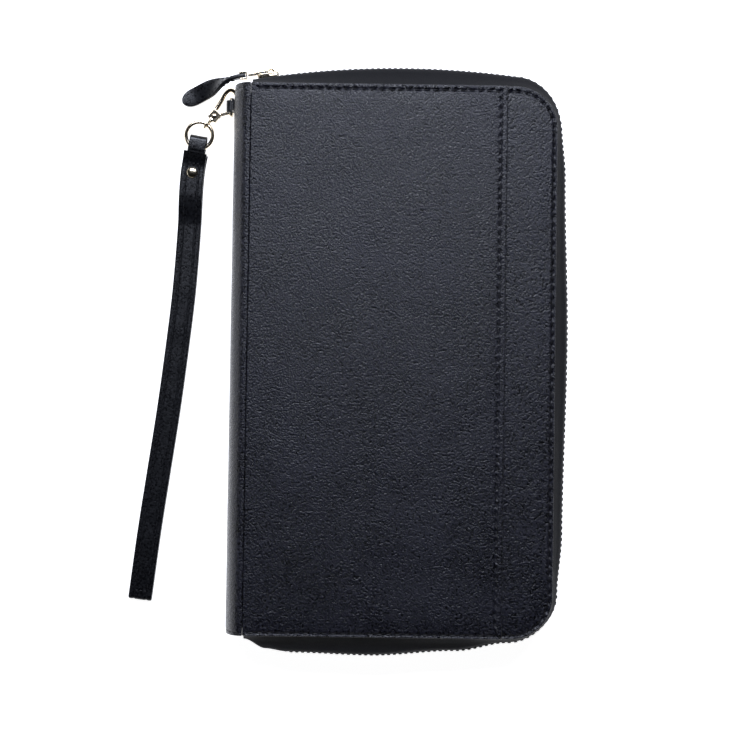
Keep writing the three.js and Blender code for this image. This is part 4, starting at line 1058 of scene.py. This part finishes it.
STRAP_SEAM = 2.7
RIVET_FROM_PLIES = 8.6
rivet_distance = PLIES_START + RIVET_FROM_PLIES
flat_stations = np.arange(PLIES_START, STRAP_END, 0.9)
lower_route = [(d, float(ply_z(d, False)), 0.0) for d in flat_stations]
upper_route = [(d, float(ply_z(d, True)), math.pi) for d in flat_stations[::-1]]
fold_low, fold_high = float(ply_z(STRAP_END, False)), float(ply_z(STRAP_END, True))
fold_middle, fold_radius = (fold_low + fold_high) / 2, (fold_high - fold_low) / 2
fold_route = [(STRAP_END + fold_radius * math.cos(a), fold_middle + fold_radius * math.sin(a),
               a + math.pi / 2)
              for a in np.linspace(-math.pi / 2, math.pi / 2, 11)]
band_section = ribbon_section(STRAP_WIDTH, STRAP_PLY, STRAP_SEAM, puff=0.12)
band_rings = ribbon(lower_route + fold_route + upper_route, band_section)
ripple = np.array([0.10 * noise.noise(Vector((d / 9.0, 4.0, z / 3.0)))
                   for d, z, _ in lower_route + fold_route + upper_route])
band_rings[len(lower_route):, :, 2] += ripple[len(lower_route):, None]
band = mesh_object("strap_leather_band", *loft(band_rings), STRAP)
attach(band, "wrist_strap", "strap_leather", "strap_band")

tongue_route = [(d, TONGUE_LOW, math.pi) for d in np.linspace(TONGUE_END, 0, 24)]
for turn in np.linspace(-math.pi / 2, -3 * math.pi / 2, 15):
    tongue_route.append((-TONGUE_HEAD + TONGUE_ROUND * math.cos(turn),
                         RING_LOW[2] + TONGUE_ROUND * math.sin(turn), turn - math.pi / 2))
tongue_route += [(d, float(tongue_high(d)), -2 * math.pi) for d in np.linspace(0, TONGUE_END, 30)]
tongue_rings = ribbon(tongue_route, ribbon_section(TONGUE_WIDTH, TONGUE_LEATHER))
tongue = mesh_object("tongue_leather", *loft(tongue_rings), STRAP)
attach(tongue, "wrist_strap", "strap_leather", "strap_tongue")


def strap_stitches(distances, side):
    """A stitch row on the upper face, along the strap at a fixed side."""
    point, tangent = strap_at(distances)
    across = np.stack([-tangent[:, 1], tangent[:, 0]], 1)
    z = np.array([float(ply_z(d, True)) for d in distances]) + STRAP_PLY / 2 - 0.02
    return stitch_row(np.hstack([point + across * side, z[:, None]]), 2.9, UP, 0.7, 0.5)


def strap_bar(distance):
    """A stitch row straight across the strap."""
    point, tangent = strap_at(np.array([distance]))
    across = np.array([-tangent[0, 1], tangent[0, 0]])
    z = float(ply_z(distance, True)) + STRAP_PLY / 2 + 0.06
    path = [(*(point[0] + across * side), z) for side in np.linspace(-STRAP_SEAM, STRAP_SEAM, 9)]
    return stitch_row(path, 1.8, UP, 0.5, 0.5)


# The two rows run between the first and the last of the bars across.
BAR_DISTANCES = (PLIES_START + 4.6, PLIES_START + 15.5, STRAP_END - 2.5)
seam_run = np.arange(BAR_DISTANCES[0], BAR_DISTANCES[-1], 0.7)
rows = [strap_stitches(seam_run, side) for side in (-STRAP_SEAM, STRAP_SEAM)]
bars = [strap_bar(distance) for distance in BAR_DISTANCES]
strap_thread = mesh_object("strap_thread", *merged(*rows, *bars), THREAD)
attach(strap_thread, "wrist_strap", "strap_leather")

RIVET_SHAFT, RIVET_CAP_HEIGHT, RIVET_DOME, RIVET_RIM = 0.8, 1.05, 0.8, 0.25
rivet_low, rivet_high = span("rivet_cap")
rivet_point, _ = strap_at(np.array([rivet_distance]))
rivet_radius = (rivet_high[0] - rivet_low[0]) / 2
foot_low, foot_high = span("rivet_foot")
cap_base = rivet_high[2] - RIVET_CAP_HEIGHT
dome = dome_profile(rivet_radius, cap_base, RIVET_DOME, RIVET_RIM, 12)
shaft = [(RIVET_SHAFT, foot_high[2] + 0.1), (RIVET_SHAFT, cap_base + 0.1)]
metal("rivet_dome", [lathe(dome, rivet_point[0], 48), lathe(shaft, rivet_point[0])],
      "wrist_strap", "rivet_cap")
foot_profile = [(rivet_radius * 0.55, foot_low[2]), (rivet_radius * 0.9, foot_low[2]),
                (rivet_radius, foot_low[2] + 0.15), (rivet_radius, foot_high[2] - 0.1),
                (rivet_radius * 0.95, foot_high[2])]
metal("rivet_base", [lathe(foot_profile, rivet_point[0], 48)], "wrist_strap", "rivet_foot")


# ---------- Puller tab ----------

PULLER_PIVOT = np.array([-53.979, 121.443, 13.0])
PULLER_TURN = math.radians(188.88)
TAB_START, TAB_LENGTH, TAB_THICKNESS, TAB_PITCH = 9.7, 28.5, 1.8, 2.2
TAB_ROOT, TAB_WIDTH, TAB_BEND, TAB_TIP_Z = 4.4, 7.4, 6.4, 6.2
CAP_START, CAP_LENGTH, CAP_GAP = 8.8, 3.4, 0.3
CAP_SHARE = (CAP_START + CAP_LENGTH + CAP_GAP - TAB_START) / TAB_LENGTH  # where the tab leaves the cap


def tab_middle(t):
    """The tab's middle line in the puller's own frame: it bends aside and droops past the cap."""
    past_cap = max(0.0, (t - CAP_SHARE) / (1 - CAP_SHARE))
    return np.array([TAB_START + t * TAB_LENGTH, TAB_BEND * past_cap ** 1.5,
                     float(smoothstep(t, CAP_SHARE, 0.85)) * (TAB_TIP_Z - MIDDLE_Z)])


def tab_frame(t):
    """The tab's directions and half width. It twists a quarter turn and widens to a rounded end."""
    along = tab_middle(t + 0.01) - tab_middle(t - 0.01)
    along /= np.linalg.norm(along)
    side = np.array([-along[1], along[0], 0])
    side /= np.linalg.norm(side)
    up = np.cross(along, side)
    turn = float(smoothstep(t, CAP_SHARE, 0.68)) * math.pi / 2
    across = up * math.cos(turn) + side * math.sin(turn)
    normal = -up * math.sin(turn) + side * math.cos(turn)
    widening = float(smoothstep(t, CAP_SHARE, 0.6))
    rounding = math.sqrt(max(0.02, 1 - max(0.0, (t - 0.8) / 0.2) ** 2.2))
    return across, normal, (TAB_ROOT + (TAB_WIDTH - TAB_ROOT) * widening) * rounding / 2


def to_part(points):
    """From the puller's own frame to the part's."""
    c, s = math.cos(PULLER_TURN), math.sin(PULLER_TURN)
    points = np.asarray(points, float)
    return np.stack([c * points[..., 0] - s * points[..., 1], s * points[..., 0] + c * points[..., 1],
                     points[..., 2]], -1) + PULLER_PIVOT


tab_rings, tab_edges = [], {-1: [], 1: []}
round_end = 1 - 0.2 * (1 - np.sin(np.linspace(0, math.pi / 2, 16)[1:]))
for t in np.concatenate([np.linspace(0, 0.8, 60), round_end]):
    across, normal, half = tab_frame(t)
    section = ribbon_section(2 * half, TAB_THICKNESS)
    puff = 0.12 * np.sign(section[:, 1]) * (1 - (section[:, 0] / half) ** 2)
    section[:, 1] += puff * smoothstep(t, 0.15, 0.4)
    tab_rings.append(to_part(tab_middle(t) + section[:, :1] * across + section[:, 1:] * normal))
    for side in (-1, 1):
        if 0.16 < t < 0.93:
            for face in (-1, 1):
                tab_edges[side].append((face, tab_middle(t) + across * side * (half - 1.25)
                                        + normal * face * (TAB_THICKNESS / 2 + 0.05), normal * face))
attach(mesh_object("tab_leather", *loft(tab_rings), STRAP), "puller", "strap_leather", "puller_tab")


def tab_thread():
    parts = []
    for side in (-1, 1):
        for face in (-1, 1):
            run = [(p, n) for f, p, n in tab_edges[side] if f == face]
            path = to_part([p for p, _ in run])
            ups = to_part([p + n for p, n in run]) - path
            parts.append(stitches_on(path, TAB_PITCH, ups, 0.6, 0.42))
    return merged(*parts)


attach(mesh_object("tab_thread", *tab_thread(), THREAD), "puller", "strap_leather")


# ---------- Ring keeper ----------

attach(softened("keeper_leather", "ring_keeper", STRAP, 0.13, 5), "spine", "strap_leather", "ring_keeper")
keeper_low, keeper_high = span("ring_keeper")
keeper_y = (keeper_low[1] + keeper_high[1]) / 2
KEEPER_FACE_DEPTH, KEEPER_SEAM, KEEPER_SEAM_LOW, KEEPER_SEAM_TOP = 1.04, 1.5, 10.9, 0.9
keeper_x = keeper_high[0] - KEEPER_FACE_DEPTH
keeper_heights = np.linspace(KEEPER_SEAM_LOW, keeper_high[2] - KEEPER_SEAM_TOP, 5)
keeper_rows = [[(keeper_x, keeper_y + side * KEEPER_SEAM, z) for z in keeper_heights] for side in (-1, 1)]
keeper_thread = merged(*[stitch_row(row, 1.5, (-1, 0, 0), 0.4, 0.4) for row in keeper_rows])
attach(mesh_object("keeper_thread", *keeper_thread, THREAD), "spine", "strap_leather")


# ---------- Inside: linings, boards and pockets ----------

def inside_sheet(name, node, body, slot, material, radii, flip, **options):
    sheet = Panel(*span(node), radii, flip=flip, **options)
    attach(sheet.piece(name, material), body, slot, node)
    return sheet


LINING_RADII = (0.8, CORNER_RADIUS - 1)
for side, body, flip in (("back", "back_cover", False), ("front", "front_cover", True)):
    inside_sheet(f"{side}_lining_cloth", f"{side}_lining", body, "lining", LINING, LINING_RADII, flip,
                 spacing=2.0, edge=0.2, wave=0.18, seed=21.0)
    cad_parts[f"{side}_board"].data.materials.clear()
    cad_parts[f"{side}_board"].data.materials.append(BOARD)

POCKET_SEAMS = {"right": 2.2, "foot": 2.2, "left": 2.2, "head": 2.0}
pocket_thread = {"back_cover": [], "front_cover": []}
pockets = [("document_pocket", "back_cover", False), ("passport_pocket", "back_cover", False),
           ("ticket_pocket", "front_cover", True)]
pockets += [(f"card_pocket_{i}", "front_cover", True) for i in range(1, 5)]
for i, (node, body, flip) in enumerate(pockets):
    panel = inside_sheet(f"{node}_leather", node, body, "pocket_leather", INNER, (2.0, 2.0), flip,
                         spacing=1.2, seams=POCKET_SEAMS, pitch=2.8, groove=0.16, edge=0.3, wave=0.14,
                         crown=0.06, seed=30.0 + i)
    pocket_thread[body].append(panel.stitches(gap=0.8, width=0.4))
for body, parts in pocket_thread.items():
    attach(mesh_object(f"{body}_pocket_thread", *merged(*parts), THREAD), body, "pocket_leather")


# ---------- Floor, light and camera ----------

FLOOR_HALF, FLOOR_Z, FLOOR_GLOW = 4000.0, -0.5, 0.95
WALL_BRIGHTNESS = 0.4
# Level of the surroundings at a direction's height: bright walls below the first, dark above the second.
WALL_TO_CEILING = ((0.15, 1.0), (0.48, 0.015))


def floor_material():
    s = Shader("floor", 0.6, specular=0.2)
    s.principled.inputs["Emission Color"].default_value = (1, 1, 1, 1)
    s.principled.inputs["Emission Strength"].default_value = FLOOR_GLOW
    speckle = s.noise(s.place(), 4.0)
    return s.finish(s.ramp(speckle, [(0.3, (0.93, 0.93, 0.93)), (0.7, (0.95, 0.95, 0.95))]))


corners = [(x * FLOOR_HALF, y * FLOOR_HALF, FLOOR_Z) for x, y in ((-1, -1), (1, -1), (1, 1), (-1, 1))]
floor = mesh_object("floor", corners, [[0, 1, 2, 3]], floor_material())


def aimed(made, at, target, roll_deg=0.0):
    """Places a lamp or camera at a point in mm and turns it towards another."""
    direction = (Vector(target) - Vector(at)) * MM
    made.location = Vector(at) * MM
    turn = direction.to_track_quat("-Z", "Y").to_matrix() @ Matrix.Rotation(math.radians(roll_deg), 3, "Z")
    made.rotation_euler = turn.to_euler()
    bpy.context.scene.collection.objects.link(made)
    return made


def softbox(name, at, target, width, height, watts, tint):
    lamp = bpy.data.lights.new(name, "AREA")
    lamp.shape, lamp.size, lamp.size_y = "RECTANGLE", width * MM, height * MM
    lamp.energy, lamp.color = watts, tint
    return aimed(bpy.data.objects.new(name, lamp), at, target)


# Softboxes: place, what they face, width and height in mm, watts, tint
softbox("upper_softbox", (-40, 700, 1000), (0, 60, 26), 900, 380, 16.0, (0.80, 0.85, 1.0))
softbox("left_softbox", (-1100, 0, 260), (-60, 0, 20), 200, 900, 0.5, (0.84, 0.91, 1.0))


def studio_world():
    """A dark ceiling over bright walls, so that flat leather stays dark and the floor stays white."""
    world = bpy.data.worlds.new("studio")
    world.use_nodes = True
    tree = world.node_tree
    direction = tree.nodes.new("ShaderNodeTexCoord").outputs["Generated"]
    split = tree.nodes.new("ShaderNodeSeparateXYZ")
    ramp = tree.nodes.new("ShaderNodeValToRGB")
    ramp.color_ramp.interpolation = "EASE"
    for element, (at, level) in zip(ramp.color_ramp.elements, WALL_TO_CEILING):
        element.position, element.color = at, (level, level, level, 1)
    background = tree.nodes["Background"]
    background.inputs["Strength"].default_value = WALL_BRIGHTNESS
    tree.links.new(direction, split.inputs["Vector"])
    tree.links.new(split.outputs["Z"], ramp.inputs["Fac"])
    tree.links.new(ramp.outputs["Color"], background.inputs["Color"])
    return world


bpy.context.scene.world = studio_world()
bpy.context.scene.view_settings.view_transform = "Standard"

CAMERA_DISTANCE = 700.0
CAMERA_TILT = math.radians(1.73)
CAMERA_ROLL_DEG = 0.835
AIM = (-11.05, -2.42, TOP)
camera = bpy.data.cameras.new("camera")
camera.lens = 83.28
eye = (AIM[0], AIM[1] - CAMERA_DISTANCE * math.sin(CAMERA_TILT),
       AIM[2] + CAMERA_DISTANCE * math.cos(CAMERA_TILT))
bpy.context.scene.camera = aimed(bpy.data.objects.new("camera", camera), eye, AIM, roll_deg=CAMERA_ROLL_DEG)
